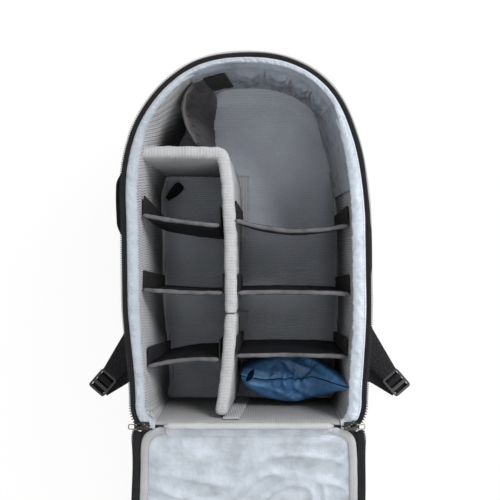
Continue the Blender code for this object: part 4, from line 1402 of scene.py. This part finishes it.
def strap_mesh(name, route, widths, low, high, plump=3.0, ripple=0.0, seed=0.0):
    """A flat padded strap along a route, with rounded edges."""
    route, widths = np.asarray(route, float), np.asarray(widths, float)
    along = unit(np.gradient(route, axis=0))
    rows = []
    for i, (spot, ahead, width) in enumerate(zip(route, along, widths)):
        side = np.array((-ahead[1], ahead[0]))
        loop = []
        for angle in turns(28):
            c, s = math.cos(angle), math.sin(angle)
            across = math.copysign(abs(c) ** (2 / plump), c) * width / 2
            rise = math.copysign(abs(s) ** (2 / plump), s) * (high - low) / 2
            give = wobble(i * 0.35, across * 40, seed=seed) * ripple
            loop.append((*(spot + side * across), (low + high) / 2 + rise + (give if s > 0 else 0)))
        rows.append(loop)
    return grid_mesh(name, rows)


def smooth_route(points, count):
    """A smooth line through a few given points, with the given count of steps."""
    points = np.asarray(points, float)
    keys = np.linspace(0, 1, len(points))
    fine = np.linspace(0, 1, count)
    line = spots_at(fine, keys, points)
    for _ in range(max(count // 12, 1)):
        line[1:-1] = (line[:-2] + line[1:-1] * 2 + line[2:]) / 4
    return line


def make_harness():
    """Shoulder straps, their ladder-lock buckles, adjusting webbing, anchors and the yoke."""
    for side, label in ((-1, "left"), (1, "right")):
        keys = [(-side * x, y) for x, y in STRAP_ROUTE]
        route = smooth_route(keys, 90)
        widths = np.interp(np.linspace(0, 1, 90), np.linspace(0, 1, len(STRAP_WIDTHS)), STRAP_WIDTHS)
        mesh = strap_mesh(f"shoulder_pad_{label}", route, widths, 0.0032, 0.0135, 3.2, 0.0007, 91.0)
        pad = piece(f"shoulder_pad_{label}", mesh, PADDING, "body")
        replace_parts(pad, f"shoulder_strap_{label}")
        along = unit(np.gradient(route, axis=0))
        for edge in (-1, 1):
            name = f"shoulder_binding_{label}_{'in' if edge < 0 else 'out'}"
            sideways = np.stack([-along[:, 1], along[:, 0]], axis=1)
            rim = route + sideways * (edge * (widths[:, None] / 2 - 0.0012))
            mesh = strap_mesh(name, rim, [0.0042] * 90, 0.0062, 0.0112, 2.0)
            piece(name, mesh, WEBBING, "body")
        lock = f"ladder_lock_{label}"
        rounded_copy(f"ladder_lock_frame_{label}", lock, ACETAL, "body", 0.0010)
        ahead = np.array((-side * math.cos(BUCKLE_HEADING), math.sin(BUCKLE_HEADING)))
        across = np.array((-ahead[1], ahead[0]))
        low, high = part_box(lock)
        centre = np.array((low + high)[:2]) / 2
        rows = []
        for t in np.linspace(-0.0165, 0.0155, 60):
            over = ease(t, -0.0125, -0.0085) * (1 - ease(t, -0.0020, 0.0020))
            height = low.z - 0.0012 + (high.z - low.z + 0.0026) * over
            spread = np.linspace(-0.0112, 0.0112, 8)
            rows.append([(*(centre + ahead * t + across * w), height) for w in spread])
        name = f"buckle_webbing_{label}"
        thicken(shaped(name, rows, WEBBING, "body", "webbing", wrap_cols=False), 0.0012)
        low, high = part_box(f"webbing_{label}")
        run = bent_line([(-side * x, y) for x, y in WEBBING_ROUTE], 60, 3)
        name = f"adjuster_webbing_{label}"
        heights = (low.z + 0.0001, high.z - 0.0001)
        mesh = strap_mesh(name, run, [0.0246] * 60, *heights, 8.0, 0.0003, 93.0)
        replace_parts(piece(name, mesh, WEBBING, "body"), f"webbing_{label}")
        name, node = f"webbing_anchor_patch_{label}", f"webbing_anchor_{label}"
        rounded_copy(name, node, NYLON, "body", 0.0008)
    low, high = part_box("harness_yoke")
    middle = (low.y + high.y) / 2
    run = smooth_route([(low.x, middle), (0, middle + 0.002), (high.x, middle)], 60)
    mesh = strap_mesh("yoke_padding", run, [high.y - low.y] * 60, low.z, high.z, 3.0, 0.0006, 95.0)
    yoke = piece("yoke_padding", mesh, NYLON, "body")
    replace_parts(yoke, "harness_yoke")


def pad_block(name, node, ribs):
    """A back pad with a crowned face, sewn across into ribs, its stuffing blown up."""
    low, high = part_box(node)
    middle, half = (low + high) / 2, (high - low) / 2
    rows = []
    for t in np.linspace(-1, 1, 90):
        row = []
        for angle in turns(56):
            c, s = math.cos(angle), math.sin(angle)
            tuck = (1 - abs(t) ** 14) ** 0.5
            x = math.copysign(abs(c) ** 0.5, c) * half.x * (0.93 + 0.07 * tuck)
            z = math.copysign(abs(s) ** 0.5, s) * half.z * (0.25 + 0.75 * tuck)
            along = (t + 1) / 2
            groove = math.exp(-((math.sin(math.pi * ribs * along) / 0.13) ** 2)) * (0.03 < along < 0.97)
            z += groove * 0.0042 if s < 0 else 0
            row.append((middle.x + x, middle.y + half.y * t, middle.z + z))
        rows.append(row)
    pad = shaped(name, rows, PADDING, None, "black_padding")
    inflate(pad, 0.5, 0.0015)
    for vertex in pad.data.vertices:
        vertex.co.z = min(max(vertex.co.z, low.z), high.z + 0.0004)
    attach(pad, "body")
    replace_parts(pad, node)


def make_back_side():
    """Pads on the back panel and the piping round its edge."""
    pad_block("back_cushion", "back_pad", 5)
    pad_block("lumbar_cushion", "lumbar_pad", 1)
    low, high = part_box("back_piping")
    radius = (high.z - low.z) / 2
    level = (high.z + low.z) / 2
    out = high.y - ARCH_TOP - radius
    section = [(out + radius * math.cos(a), level + radius * math.sin(a)) for a in turns(14)]
    mesh = swept("edge_piping", outline(90, True, 0.004), section, True)
    cord = piece("edge_piping", mesh, WEBBING, "body")
    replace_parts(cord, "back_piping")


def make_handles():
    """Webbing grab handles on both sides and at the top, with bar-tacked feet."""
    for name in ("side_handle_left", "side_handle_right", "top_handle"):
        low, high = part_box(name)
        top = name == "top_handle"
        span = (high.x - low.x) / 2 if top else (high.y - low.y) / 2
        bow = (high.y - ARCH_TOP) if top else max(high.x, -low.x) - HALF_WIDTH
        middle = (low + high) / 2
        route = []
        for t in np.linspace(-1, 1, 80):
            lift = ease(0.84 - abs(t), 0, 0.55)
            out = 0.0024 + (bow - 0.0072) * lift
            if top:
                x = middle.x + span * t
                route.append((x, ARCH_Y + ARCH_RISE * arch_share(x / HALF_WIDTH) + out))
            else:
                side = -1 if name.endswith("left") else 1
                y = middle.y + span * t
                route.append((sway(y) + side * (inside_half(y, 0) + out), y))
        heights = np.linspace(low.z + 0.003, high.z - 0.003, 9)
        for k, step in enumerate((1, 4, 75, 78)):
            ahead = np.subtract(route[step + 1], route[step - 1])
            away = np.array((ahead[1], -ahead[0])) / np.linalg.norm(ahead)
            away *= 1 if away @ route[step] > 0 else -1
            spot = np.array(route[step]) + away * 0.0019
            ring = [spot + away * (0.0007 * math.cos(a)) + ahead * (0.15 * math.sin(a)) for a in turns(10)]
            rows = [[(*corner, z) for corner in ring] for z in heights]
            shaped(f"{name}_tack_{k}", rows, TEETH, "body", "webbing")
        mesh = strap_mesh(f"{name}_webbing", route, [0.0036] * 80, low.z + 0.0005, high.z - 0.0005, 7.0)
        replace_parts(piece(f"{name}_webbing", mesh, WEBBING, "body"), name)


make_camera()
make_stage()
make_rim()
make_walls()
make_floor_padding()
make_foot_tapes()
make_outer_cloth()
make_zipper()
make_sliders()
make_hinge()
make_centre_divider()
make_small_dividers()
make_curved_divider()
make_floor_loop()
make_pouch()
make_flap()
make_harness()
make_back_side()
make_handles()
